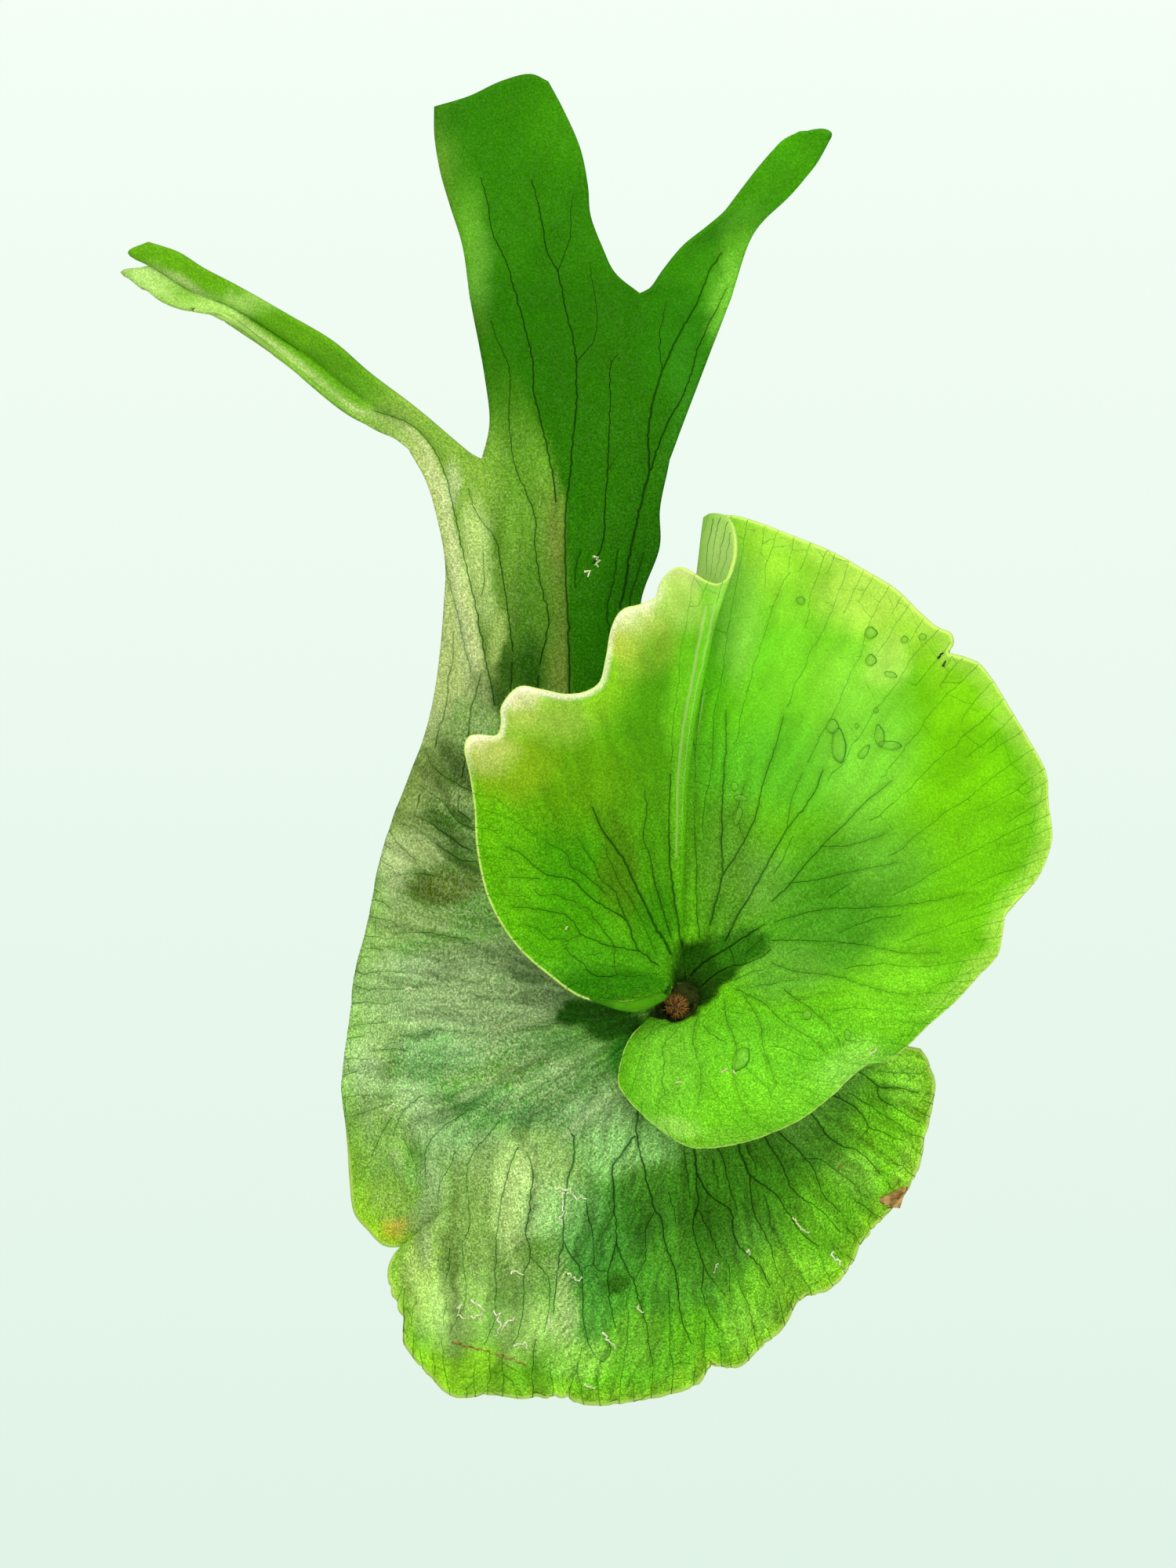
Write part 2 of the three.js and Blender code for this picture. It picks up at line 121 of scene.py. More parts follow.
# ---- Light: the surround's share of what it shows, and lamps as (name, place, size, power, tint) ----
AMBIENT = 0.62
LIGHT_TARGET = (0, -0.04, 0.05)
LIGHTS = [
    ("key", (-0.15, -1.2, 1.1), 0.9, 15, (1.0, 0.99, 0.95)),
    ("fill", (1.0, -1.2, 0.1), 1.0, 4, (0.95, 1.0, 0.98)),
]
HORIZON = 0.12
SURROUND_LOW = "dff2e6"
SURROUND_HIGH = "f5fff6"
FLOOR_SIZE = 2.2
FLOOR_HEIGHT = -0.5
FLOOR_PALE = "e9efe9"

# ---- Finishes in two tones: light, dark, size of the speckles in millimetres, roughness ----
SPECKLED = {
    "scar_pale": ("fbfad8", "d8dca0", 0.8, 0.7),
    "scar_brown": ("b98f3e", "6d4317", 0.7, 0.75),
    "corner_brown": ("d8b06a", "a67e44", 1.0, 0.8),
    "speck_pale": ("f0efc4", "c7c07c", 0.8, 0.7),
    "speck_dark": ("3a3a14", "12120a", 0.8, 0.8),
    "down_pale": ("f0fbc0", "d8f08c", 2.0, 0.8),
    "down_lime": ("d4f284", "a8dc48", 2.0, 0.8),
    "bud_brown": ("5a3412", "2a1606", 0.9, 0.9),
    "fur_golden": ("dca048", "7a4614", 1.3, 0.7),
    "moss_green": ("8b8f4a", "434a1e", 1.6, 0.95),
    "moss_strand": ("b3b46a", "5f6a2a", 5.0, 0.9),
    "tie_wire_green": ("33452a", "25341f", 3.0, 0.45),
}

# ---- Single tones of the fronds, the water and the wood ----
# Some of these tones are partly painted light: neck, neck_low and olive on the neck's lit left side, and band
# and band_low on the lit half below the strap's crease, are partly bloom; the streak tone and the ridges'
# tone are painted highlights.
OLD_TONES = {
    "lobes": "2b7a02", "neck_dark": "206a00", "neck": "619a1e", "neck_low": "5e8426", "olive": "71822e",
    "strap": "64a812", "strap_foot": "9cc848", "band": "80b43a", "band_low": "b6c874", "streak": "c8d690",
    "shield": "619833", "margin": "96d020", "ridge_highlight": "b5cf8c", "bloom": "b2c68c",
}
# The young frond's margin tone is a painted highlight along its right margin.
YOUNG_TONES = {"blade": "64bb14", "tooth": "fff6d4", "margin": "c8f060", "bloom": "8cc850"}
# The rim line is partly the margin's pale down and partly a painted glow where the thin margin is backlit.
RIM_LINE = "ddf47c"
BESIDE_VEIN = "2c6a08"
UNDERSIDE = "cfe08a"
# The water's foot tone is painted shade and its top tone painted light.
WATER_FOOT_SHADE = "2c7c0a"
WATER_TOP_LIGHT = "9ae840"
WOOD_TONES = {"light": "a87a48", "band": "6e4524", "fibre": "4a2c15"}

# ---- Streaks along the veins, in layers of (strength, streaks to a radian, length in pixels) ----
OLD_STREAKS = [(0.5, 16, 120), (0.45, 37, 90), (0.4, 90, 70)]
OLD_FIBRES = (100, 80)
YOUNG_STREAKS = [(0.6, 21, 90), (0.4, 44, 60)]
RAGGED = (30, 60)
CROWN_PIXEL = (858, 1284)

# ---- Leaf skin: the gloss's tint, the shade in pits and the light on hairs ----
LEAF_GLOSS = (0.7, 1.0, 0.06, 1.0)
PIT_SHADE = (0.4, 0.4, 0.4, 1.0)
HAIR_LIGHT = (2.1, 1.75, 2.1, 1.0)
# Skins: how strong the hairs are, roughness, and some have a paler or darker tone or a pale line at the rim.
SKINS = {
    "old_frond_green": {"grain": 0.38, "roughness": 0.5, "rim_pale": 0.7, "rim_reach": 1.9},
    "old_frond_under": {"grain": 0.3, "roughness": 0.7, "pale": 0.3},
    "old_frond_edge": {"grain": 0.3, "roughness": 0.6, "rim_pale": 0.95, "rim_reach": 2.5},
    "young_frond_green": {"grain": 0.3, "roughness": 0.55, "rim_pale": 0.9},
    "young_frond_under": {"grain": 0.4, "roughness": 0.7, "pale": 0.25},
    "young_frond_edge": {"grain": 0.3, "roughness": 0.7, "rim_pale": 0.6},
    # The crest's paler tone is partly its pale down and partly a painted highlight along the fold.
    "young_frond_crest": {"grain": 0.4, "roughness": 0.6, "pale": 0.3},
    "young_frond_hem": {"grain": 0.3, "roughness": 0.6, "darken": 0.78},
}
# How much a vein keeps of the paint in red, green and blue.
VEIN_SHADES = {
    "old_frond_vein": (0.16, 0.27, 0.27), "old_frond_fine_vein": (0.38, 0.5, 0.42),
    "young_frond_vein": (0.25, 0.36, 0.5), "young_frond_fine_vein": (0.5, 0.62, 0.7),
}

# ---- Old frond outlines ----
NECK_LINES = [
    [[10, 51, 41], [9, 64, 42], [6, 77, 43], [2.5, 89, 43], [6.5, 101.5, 44], [6.5, 109, 45], [8.5, 119, 46]],
    [[-4, 50, 43], [-6.5, 69, 45], [-7, 88, 47], [-6, 102.5, 48.5], [-5, 118, 50]],
    [[-30, 48, 37], [-28.5, 64, 40], [-27, 77, 42], [-27, 91, 44], [-27, 104, 45], [-29.5, 119, 46]],
    [[-47.5, 46.5, 26], [-44.5, 54.5, 29], [-40.5, 65.5, 33], [-38.5, 77, 37], [-37, 97.5, 40],
     [-38.5, 106.5, 41], [-41, 114.7, 41], [-44.6, 121.4, 40]],
]
FORK_LINES = [
    [[8.5, 119, 46], [12, 128.5, 46], [18.5, 145.5, 45], [21, 152, 45]],
    [[-5, 118, 50], [-1.5, 135.5, 51], [2.5, 152.5, 52]],
    [[-29.5, 119, 46], [-28, 126.5, 48], [-29, 135.5, 51], [-32, 151.5, 54]],
]
STRAP = {
    "right": [[-29.5, 119, 46], [-31.5, 120, 46], [-35.5, 123.3, 45], [-41, 128, 44], [-52.5, 137, 41],
              [-60, 143.5, 38], [-69, 149, 34.5], [-81, 156, 29], [-87.5, 159.5, 27],
              [-92.5, 162.7, 26], [-99, 165, 24]],
    "left": [[-44.6, 121.4, 40], [-47.6, 123.7, 39.5], [-51.5, 125.5, 39], [-58, 129, 38], [-71, 140, 33],
             [-83, 149.5, 29], [-87, 150, 28], [-91.5, 151.5, 26], [-98, 158, 23]],
    "tip": [[-99, 165, 24], [-103, 163, 22], [-98.5, 160.5, 23], [-104.5, 159, 21], [-98, 158, 23]],
}
CENTRAL_LOBE = {
    "right": [[2.5, 152.5, 52], [-2.5, 156.5, 54], [-5, 161.5, 55], [-7.5, 168, 57], [-8, 173.5, 59],
              [-9.5, 181, 60.5], [-13, 189, 62], [-16, 194.5, 63]],
    "left": [[-32, 151.5, 54], [-33.5, 162, 56], [-36, 170, 58], [-38, 177, 60], [-39, 184, 61],
             [-39, 189.5, 62]],
    "tip": [[-16, 194.5, 63], [-19.5, 196, 63], [-25.5, 194.5, 63.5], [-32, 191.5, 63], [-39, 189.5, 62]],
}
RIGHT_LOBE = {
    "right": [[21, 152, 45], [25, 164.5, 47], [28, 168.5, 49], [33.5, 173, 53], [38, 178, 57],
              [40.5, 182.5, 60]],
    "left": [[2.5, 152.5, 52], [4.5, 153.5, 52], [7, 157, 52], [11.3, 162, 53], [16.2, 165.8, 54],
             [19.5, 168.6, 54.5], [22.2, 172.2, 55], [27, 178.3, 57], [31.5, 183, 58], [35, 184.5, 59]],
    "tip": [[40.5, 182.5, 60], [41.2, 184.2, 60.5], [40, 185, 60.5], [37.5, 185, 60], [35, 184.5, 59]],
}
SHIELD_MARGIN = [
    [[-47.5, 46.5, 26], [-50, 40, 25], [-52.5, 28.5, 24], [-55, 17, 23], [-58, 0, 21], [-58.5, -9, 21],
     [-58, -19, 20], [-57.5, -28.5, 19], [-56, -36, 18]],
    [[-53, -39.5, 19], [-50, -42.5, 20.5], [-46.5, -42.5, 21.5], [-44.5, -43, 22], [-47, -44.5, 22.5],
     [-49, -48, 23]],
    [[-49, -51, 23.5], [-46.5, -58, 24], [-46, -63, 24], [-40, -70, 23], [-35.5, -73.5, 23],
     [-28.5, -73.5, 23], [-19.5, -74.5, 24], [-12.5, -74, 25], [-9.5, -75, 26], [5, -74, 25],
     [11.5, -73, 25]],
    [[15, -71, 25], [17.5, -67.5, 26], [23, -67, 27], [27, -63.5, 27], [32.5, -59, 27], [36, -54, 27],
     [42, -51, 27], [46.5, -44.5, 27], [50.5, -39.5, 27], [54, -35.5, 28], [57, -31.5, 28],
     [59.5, -26.5, 29], [61, -21.5, 29], [63, -15, 30], [62.5, -6.5, 31], [60, -2, 31]],
]

# ---- Young frond: stretches of its margin, with the ring half way in and the ring at its throat ----
YOUNG_STRETCHES = [
    {"margin": [[5, 5, 46], [1, 1, 46.5], [-1, -4, 47], [-1.5, -8.5, 47.5], [3, -14, 48.5],
                [12, -20.5, 49.5]],
     "waist": [[6.5, 4.6, 46.5], [4, 0, 50], [4.5, -4.5, 52.5], [9, -8, 54.5]],
     "throat": [[7.5, 4.5, 46], [9, 4, 46], [10.5, 4, 46]]},
    {"margin": [[16, -21, 50], [22.5, -20, 50.5], [28.5, -18, 51], [35, -15, 52], [41.5, -10, 53],
                [45.5, -6, 54], [49, -3.5, 55.5], [52.5, -3, 56], [57, 0.5, 58], [61, 4.5, 60]],
     "waist": [[16, -8.5, 56], [24, -5.5, 57], [31, -1, 57.5], [37.5, 5, 57.5]],
     "throat": [[12, 4.5, 46], [13.5, 6, 46], [14.5, 7.5, 46]]},
    {"margin": [[66, 9, 62], [70.5, 14, 64], [74.5, 18.5, 65.5], [75.5, 23.5, 67], [76, 26.5, 67.5],
                [79, 30, 67], [82.5, 34, 67], [84.5, 38.5, 67.5], [85.3, 42.5, 68], [84.5, 49, 68.5],
                [84, 55, 69.5]],
     "waist": [[43, 13, 58.5], [47, 23, 59], [49, 32, 59.5]],
     "throat": [[15, 9, 46], [15, 10, 46]]},
    {"margin": [[80.5, 61.5, 71], [76.5, 68, 73], [73, 73.5, 74.5], [70, 77, 75.5], [66, 78.5, 76],
                [64, 79, 76], [65, 81, 76.5], [64.5, 83, 76.5], [62, 84, 76], [58, 87.5, 74.5],
                [53.5, 92, 72.5], [47, 96, 70], [41, 99.5, 67.5], [31.5, 103.5, 64], [25, 106, 62],
                [21.5, 107, 60.5]],
     "waist": [[47, 41, 60], [43, 49, 60], [37, 55.5, 59], [29, 59.5, 57], [21, 61, 55], [16, 60, 53]],
     "throat": [[14.5, 11, 46], [13, 12.3, 46]]},
    {"margin": [[17.5, 107, 60], [15.6, 106.5, 62], [17, 107.3, 65], [20, 106.5, 68], [21.5, 103.5, 70.5],
                [21.5, 99, 72.5], [20.5, 95, 73], [18.5, 93, 72], [16, 93.5, 70]],
     "waist": [[12, 59.5, 52.5], [9, 59.5, 53.5], [8.5, 59.5, 55.5], [11, 59, 58.5], [12.3, 58.5, 60.5],
               [11.5, 58, 62], [9, 57.5, 62]],
     "throat": [[12.3, 12.5, 46], [11, 12.6, 46]]},
    {"margin": [[13.5, 95, 69], [10.5, 96.5, 68], [7.5, 94.5, 67], [6, 90.5, 66], [2.5, 89, 65],
                [-1, 88, 65], [-3, 84.5, 64], [-4, 79, 63], [-5.5, 73.5, 62], [-8.5, 71.5, 62],
                [-12.5, 71, 62], [-17.5, 72, 61.5], [-22, 72.5, 61], [-25.5, 68.5, 60], [-25.5, 65.5, 59],
                [-26.5, 62.5, 59], [-32, 62.5, 60]],
     "waist": [[5.5, 56.5, 60.5], [1, 54, 59], [-3.5, 50, 57.5], [-8, 44, 56]],
     "throat": [[10, 12.3, 46.5], [9.5, 12, 46.8]]},
    {"margin": [[-33, 60.5, 60], [-32, 55, 59], [-31, 48, 58], [-30.5, 39.5, 57], [-28, 29, 56],
                [-22.5, 20, 55], [-16, 14, 54], [-9.5, 9.5, 53], [-4.5, 8.5, 53], [1, 8.5, 53],
                [6.5, 9.8, 53], [8.5, 12.5, 53]],
     "waist": [[-10, 36, 54.5], [-9, 27, 53], [-5, 19, 51.5], [1, 14.5, 50.5], [6, 12.2, 50],
               [8.6, 12.2, 50.2]],
     "throat": [[9.1, 11.6, 47.2], [9, 11.2, 47.6]]},
]


# ---- What is drawn on the fronds, by the pixel [x, y] of the photograph's frame at which it is seen ----
# Veins run from their thick end to their thin end: (thickness, points).
OLD_VEINS = [
    (0.26, [(727, 890), (725, 800), (722, 745), (721, 688), (722, 650), (727, 609), (731, 560), (735, 518),
        (735, 466), (731, 432), (722, 398), (711, 346), (698, 322), (694, 298), (684, 249), (678, 228)]),
    (0.16, [(689, 848), (700, 789), (692, 751), (683, 692), (684, 664), (673, 630), (658, 595), (650, 533),
        (649, 467), (632, 428), (626, 408)]),
    (0.2, [(710, 640), (705, 602), (699, 574), (687, 522), (681, 498), (680, 467), (670, 418), (657, 372),
        (644, 328), (630, 303), (621, 256), (613, 225)]),
    (0.18, [(756, 720), (768, 694), (771, 650), (774, 605), (778, 519), (780, 462), (788, 452)]),
    (0.08, [(780, 462), (773, 452)]), (0.09, [(775, 600), (788, 577)]),
    (0.3, [(789, 775), (795, 751), (802, 706), (810, 671), (819, 630), (826, 602), (826, 545), (833, 508),
        (843, 474), (852, 453), (869, 418), (884, 392), (897, 360), (907, 338), (920, 322)]),
    (0.12, [(843, 474), (840, 435), (845, 400), (849, 384)]),
    (0.2, [(829, 600), (836, 577), (854, 532), (866, 511), (878, 484), (887, 449), (895, 429), (911, 396),
        (927, 366)]),
    (0.15, [(655, 830), (648, 775), (644, 747), (639, 713), (632, 685), (620, 670), (606, 648), (598, 622)]),
    (0.16, [(632, 900), (625, 865), (616, 827), (609, 789), (602, 754), (595, 727), (587, 692), (580, 660),
        (572, 623), (562, 592), (549, 566), (530, 544), (508, 532), (478, 524)]),
    (0.14, [(602, 858), (592, 817), (585, 782), (575, 741), (568, 713), (561, 678)]),
    (0.1, [(711, 346), (717, 330), (727, 303), (728, 275), (731, 247)]),
    (0.1, [(735, 462), (743, 452), (758, 433), (760, 386), (755, 357), (752, 332)]),
    (0.2, [(728, 1440), (732, 1452), (733, 1478), (727, 1497), (722, 1518), (718, 1552), (718, 1581),
        (713, 1607), (709, 1640), (706, 1675)]),
    (0.17, [(718, 1581), (728, 1601), (741, 1619), (743, 1647), (745, 1687), (754, 1715), (763, 1730),
        (772, 1733), (778, 1722), (778, 1706)]),
    (0.14, [(748, 1523), (750, 1552), (755, 1569), (757, 1611), (750, 1615), (741, 1619)]),
    (0.11, [(757, 1611), (763, 1618), (777, 1621)]),
    (0.23, [(806, 1385), (813, 1412), (812, 1446), (817, 1469), (823, 1495), (828, 1518), (833, 1540),
        (842, 1552), (848, 1586), (861, 1621), (864, 1642), (867, 1666), (872, 1691), (881, 1712)]),
    (0.2, [(812, 1448), (805, 1453), (797, 1466), (781, 1489), (783, 1515), (784, 1541), (787, 1564),
        (787, 1584), (781, 1604), (777, 1621), (778, 1644), (781, 1672), (787, 1692)]),
    (0.19, [(787, 1584), (797, 1609), (808, 1632), (813, 1655), (823, 1687), (827, 1715), (833, 1740)]),
    (0.12, [(833, 1545), (822, 1569), (823, 1589), (820, 1609), (809, 1630)]),
    (0.17, [(672, 1470), (681, 1500), (678, 1523), (676, 1549), (673, 1575), (677, 1601), (668, 1621),
        (668, 1644), (666, 1670), (662, 1695), (655, 1715)]),
    (0.13, [(677, 1601), (688, 1612), (699, 1629), (700, 1667), (694, 1700)]),
    (0.15, [(662, 1462), (651, 1486), (646, 1506), (639, 1529), (637, 1552), (634, 1586), (634, 1624),
        (634, 1655), (630, 1685), (618, 1712)]),
    (0.12, [(640, 1430), (620, 1452), (602, 1475), (597, 1495), (598, 1530), (599, 1564), (589, 1589),
        (592, 1618), (596, 1644), (590, 1672), (575, 1700)]),
    (0.12, [(584, 1468), (576, 1489), (566, 1503), (560, 1529), (556, 1550)]),
    (0.12, [(592, 1420), (565, 1437), (545, 1466), (546, 1489), (547, 1517)]),
    (0.11, [(573, 1592), (572, 1618), (567, 1636)]),
    (0.14, [(540, 1395), (524, 1409), (513, 1420), (502, 1449)]),
    (0.11, [(500, 1425), (482, 1454), (473, 1475)]), (0.11, [(513, 1452), (529, 1478), (538, 1500)]),
    (0.24, [(880, 1440), (886, 1464), (888, 1486), (894, 1506), (909, 1525), (931, 1544), (934, 1570),
        (941, 1589), (957, 1603), (970, 1618), (981, 1640)]),
    (0.18, [(888, 1495), (890, 1541), (884, 1557), (888, 1586), (897, 1610), (897, 1655), (912, 1682),
        (925, 1698)]), (0.13, [(884, 1557), (889, 1541), (899, 1557), (918, 1598), (928, 1611), (930, 1650)]),
    (0.13, [(897, 1610), (909, 1630), (925, 1650)]),
    (0.15, [(908, 1450), (914, 1464), (922, 1480), (928, 1509), (939, 1541)]),
    (0.24, [(936, 1446), (941, 1461), (947, 1477), (957, 1499), (970, 1509), (989, 1522), (1000, 1538),
        (1008, 1550), (1021, 1570), (1042, 1587)]),
    (0.15, [(957, 1499), (960, 1541), (973, 1570), (984, 1592), (989, 1614), (1002, 1640)]),
    (0.2, [(970, 1440), (979, 1458), (992, 1477), (1002, 1499), (1008, 1514), (1024, 1528), (1043, 1541),
        (1067, 1570)]),
    (0.18, [(985, 1435), (997, 1448), (1008, 1458), (1027, 1477), (1038, 1493), (1043, 1512), (1050, 1525),
        (1070, 1545)]), (0.11, [(1027, 1477), (1046, 1479), (1066, 1493), (1088, 1509), (1100, 1526)]),
    (0.2, [(1026, 1412), (1037, 1422), (1046, 1435), (1056, 1448), (1075, 1461), (1088, 1464), (1107, 1477),
        (1121, 1497)]),
    (0.17, [(1060, 1395), (1072, 1403), (1088, 1411), (1101, 1426), (1107, 1438), (1120, 1442),
        (1149, 1455)]), (0.1, [(1107, 1438), (1097, 1448), (1090, 1456)]),
    (0.18, [(1096, 1366), (1106, 1373), (1120, 1386), (1149, 1387), (1170, 1392)]),
    (0.14, [(1120, 1386), (1121, 1400), (1142, 1413), (1162, 1426), (1175, 1432)]),
    (0.12, [(851, 1520), (859, 1541), (862, 1560)]),
    (0.12, [(635, 1100), (588, 1096), (560, 1078), (531, 1056), (515, 1050)]),
    (0.12, [(612, 1060), (588, 1049), (567, 1024), (538, 1002)]),
    (0.12, [(605, 1010), (567, 988), (552, 974), (545, 955)]), (0.1, [(556, 1118), (531, 1114), (495, 1118)]),
    (0.1, [(600, 1198), (563, 1193), (549, 1190), (506, 1190)]), (0.11, [(491, 1211), (462, 1211)]),
    (0.12, [(534, 1260), (495, 1260), (470, 1261), (455, 1254)]),
    (0.11, [(490, 1304), (477, 1305), (448, 1308)]), (0.11, [(520, 1341), (495, 1338), (473, 1341)]),
]
YOUNG_VEINS = [
    (0.12, [(912, 662), (904, 700), (902, 733)]), (0.12, [(920, 660), (912, 700), (908, 736)]),
    (0.12, [(930, 666), (921, 702), (914, 737)]), (0.12, [(935, 680), (930, 706), (921, 736)]),
    (0.34, [(856, 1215), (850, 1204), (836, 1182), (825, 1157), (811, 1129), (800, 1104), (786, 1082),
        (769, 1059), (756, 1028)]),
    (0.26, [(868, 1205), (863, 1168), (857, 1126), (854, 1090), (853, 1050), (855, 1006), (856, 985)]),
    (0.17, [(856, 1195), (843, 1149), (836, 1126), (831, 1098), (821, 1065), (826, 1031), (822, 1006)]),
    (0.2, [(815, 1212), (807, 1196), (801, 1177), (792, 1168), (772, 1157), (755, 1146), (741, 1132),
        (727, 1121), (698, 1115), (680, 1103), (663, 1087), (645, 1080)]),
    (0.12, [(801, 1177), (789, 1149), (783, 1135), (769, 1124), (758, 1101), (743, 1079), (736, 1066)]),
    (0.11, [(772, 1140), (758, 1126), (738, 1110), (727, 1104), (724, 1090), (713, 1082), (694, 1073)]),
    (0.17, [(838, 1232), (814, 1213), (783, 1208), (764, 1202), (750, 1196), (741, 1192), (730, 1174),
        (721, 1167), (708, 1163), (682, 1159), (652, 1156)]),
    (0.12, [(783, 1208), (775, 1194), (758, 1171), (747, 1157), (736, 1158)]),
    (0.11, [(783, 1208), (783, 1233), (786, 1244), (822, 1246)]),
    (0.11, [(786, 1244), (772, 1247), (752, 1241), (743, 1230), (721, 1210), (724, 1199), (699, 1197),
        (685, 1185), (666, 1178)]), (0.1, [(741, 1193), (724, 1199)]),
    (0.1, [(735, 1150), (719, 1146), (710, 1140), (688, 1142), (680, 1133)]),
    (0.1, [(688, 1121), (668, 1119), (645, 1119)]), (0.09, [(814, 1213), (790, 1232), (760, 1229)]),
    (0.24, [(905, 1180), (913, 1152), (921, 1118), (921, 1067), (923, 1003), (927, 947), (927, 905)]),
    (0.17, [(921, 1118), (928, 1107), (951, 1071), (964, 1041), (974, 998), (989, 956), (1000, 913)]),
    (0.22, [(925, 1200), (938, 1173), (953, 1148), (968, 1122), (985, 1092), (1004, 1058), (1036, 1015),
        (1051, 981)]),
    (0.15, [(985, 1150), (1010, 1126), (1023, 1109), (1049, 1079), (1075, 1054), (1104, 1024), (1139, 994)]),
    (0.14, [(893, 1195), (889, 1152), (889, 1100), (886, 1062), (887, 1010)]),
    (0.28, [(880, 1245), (893, 1232), (913, 1217), (933, 1206), (953, 1193), (977, 1178)]),
    (0.19, [(895, 1258), (913, 1243), (933, 1232), (950, 1230), (970, 1222), (985, 1210)]),
    (0.13, [(931, 1207), (935, 1217), (938, 1230)]), (0.09, [(951, 1071), (940, 1040), (950, 1000)]),
    (0.09, [(1004, 1058), (1010, 1020), (1025, 985)]), (0.09, [(1049, 1079), (1085, 1078), (1130, 1062)]),
    (0.09, [(1010, 1126), (1050, 1120), (1100, 1108), (1150, 1100)]),
    (0.09, [(990, 1175), (1050, 1160), (1110, 1158), (1170, 1152), (1230, 1140)]),
    (0.09, [(985, 1200), (1040, 1200), (1100, 1205), (1150, 1215), (1200, 1215)]),
    (0.09, [(985, 1228), (1020, 1240), (1070, 1246), (1120, 1262), (1160, 1268)]),
    (0.09, [(940, 1262), (975, 1280), (1000, 1305), (1035, 1325), (1060, 1350)]),
    (0.09, [(925, 1275), (928, 1300), (940, 1335), (938, 1380), (950, 1415)]),
    (0.09, [(950, 1270), (970, 1306), (975, 1340), (990, 1380)]),
    (0.09, [(1000, 1262), (1050, 1300), (1075, 1335)]),
    (0.09, [(893, 1290), (885, 1330), (895, 1370), (890, 1410)]),
]
# Raised pale lines in the same form: the young frond's crest, pale with its down and with a painted
# highlight, then the old frond's ridges, painted pale as a highlight along them.
YOUNG_RIDGES = [
    (0.72, [(902, 772), (889, 835), (878, 890), (869, 945), (864, 1000), (863, 1050), (862, 1095)]),
    (0.55, [(912, 770), (899, 830), (886, 885), (876, 945), (870, 1000), (868, 1045)]),
    (0.42, [(898, 880), (891, 930), (888, 980), (886, 1030), (886, 1060)]),
]
OLD_RIDGES = [
    (0.2, [(760, 1335), (700, 1372), (640, 1412)]), (0.18, [(735, 1372), (690, 1410), (655, 1440)]),
    (0.18, [(700, 1290), (640, 1315), (570, 1345)]),
    (0.34, [(797, 1388), (775, 1404), (752, 1420), (735, 1436), (722, 1452)]),
    (0.26, [(543, 1505), (548, 1545), (546, 1580), (544, 1610)]),
    (0.2, [(505, 1470), (520, 1500), (533, 1530), (538, 1560)]),
    (0.22, [(590, 1400), (640, 1372), (690, 1340)]),
]
# Small marks on the fronds' skin, each a line of points.
PALE_SCARS = [
    [(711, 1514), (722, 1517), (735, 1525), (748, 1530)], [(717, 1522), (717, 1540), (715, 1563)],
    [(589, 1661), (584, 1674), (593, 1681)], [(604, 1660), (615, 1665), (612, 1684)],
    [(600, 1678), (611, 1676)], [(632, 1672), (638, 1690), (633, 1703)], [(652, 1678), (641, 1695)],
    [(700, 1678), (703, 1697)], [(770, 1700), (779, 1712), (786, 1718)], [(809, 1666), (820, 1673)],
    [(724, 1625), (735, 1630), (741, 1627)], [(651, 1623), (663, 1621), (668, 1626)],
    [(657, 1714), (668, 1712), (672, 1720)], [(1059, 1598), (1070, 1611), (1078, 1629)],
    [(1011, 1551), (1023, 1566), (1032, 1569)], [(952, 1592), (956, 1602)], [(910, 1621), (917, 1612)],
    [(756, 707), (763, 713), (760, 722)], [(747, 729), (752, 733)], [(519, 1263), (534, 1261)],
    [(494, 1415), (505, 1407)], [(746, 1765), (757, 1768)],
]
BROWN_SCARS = [
    [(578, 1711), (605, 1718), (628, 1724)], [(632, 1724), (648, 1730), (663, 1736), (673, 1741)],
    [(1120, 1530), (1134, 1524), (1148, 1513), (1156, 1513)], [(1122, 1532), (1136, 1539), (1147, 1541)],
    [(1156, 1513), (1153, 1524), (1150, 1534), (1147, 1541)], [(893, 1764), (897, 1755)],
    [(905, 1733), (913, 1740)], [(1074, 1484), (1068, 1492)],
]
YOUNG_DARK_SPECKS = [[(1198, 841), (1201, 836), (1205, 833)], [(1203, 848), (1205, 843), (1207, 841)]]
YOUNG_SPECKS = [
    [(719, 1185), (726, 1182)], [(921, 1368), (929, 1363)], [(935, 1363), (939, 1371)],
    [(1110, 1342), (1119, 1336)], [(864, 1382), (869, 1380)],
]
# The upper and lower edge of the shield's dry brown corner.
DRY_CORNER = {"top": [(1122, 1530), (1136, 1522), (1156, 1513)],
              "bottom": [(1123, 1532), (1136, 1539), (1148, 1541)]}
# Water drops: (x, y, half length, half width, turn in degrees from upright), in pixels.
DROPS = [
    (1072, 950, 20, 9, -4), (1062, 927, 9, 8, 30), (1123, 937, 14, 7, 8), (1136, 950, 14, 6, 80),
    (1104, 958, 12, 5, -35), (1112, 806, 8, 8, 0), (1112, 841, 8, 7, 0), (1155, 815, 5, 5, 0),
    (1178, 812, 4, 5, 0), (1137, 860, 8, 4, 70), (1022, 765, 5, 5, 0), (1118, 905, 4, 4, 0),
    (946, 1353, 17, 10, -35), (1081, 1319, 7, 5, 10), (1030, 1295, 7, 6, 0), (941, 1042, 12, 6, -20),
    (946, 1017, 10, 4, 80), (937, 1003, 6, 5, 0), (1094, 925, 3, 3, 0),
]
# The lobe's hem, curled up: its outer edge and the line at which it turns over.
HEM_EDGE = [(752, 1274), (772, 1282), (797, 1289), (817, 1289), (836, 1281), (850, 1273), (856, 1262),
            (852, 1250)]
HEM_TURN = [(752, 1273), (769, 1276), (800, 1278), (819, 1274), (836, 1268), (848, 1266), (851, 1259),
            (852, 1250)]
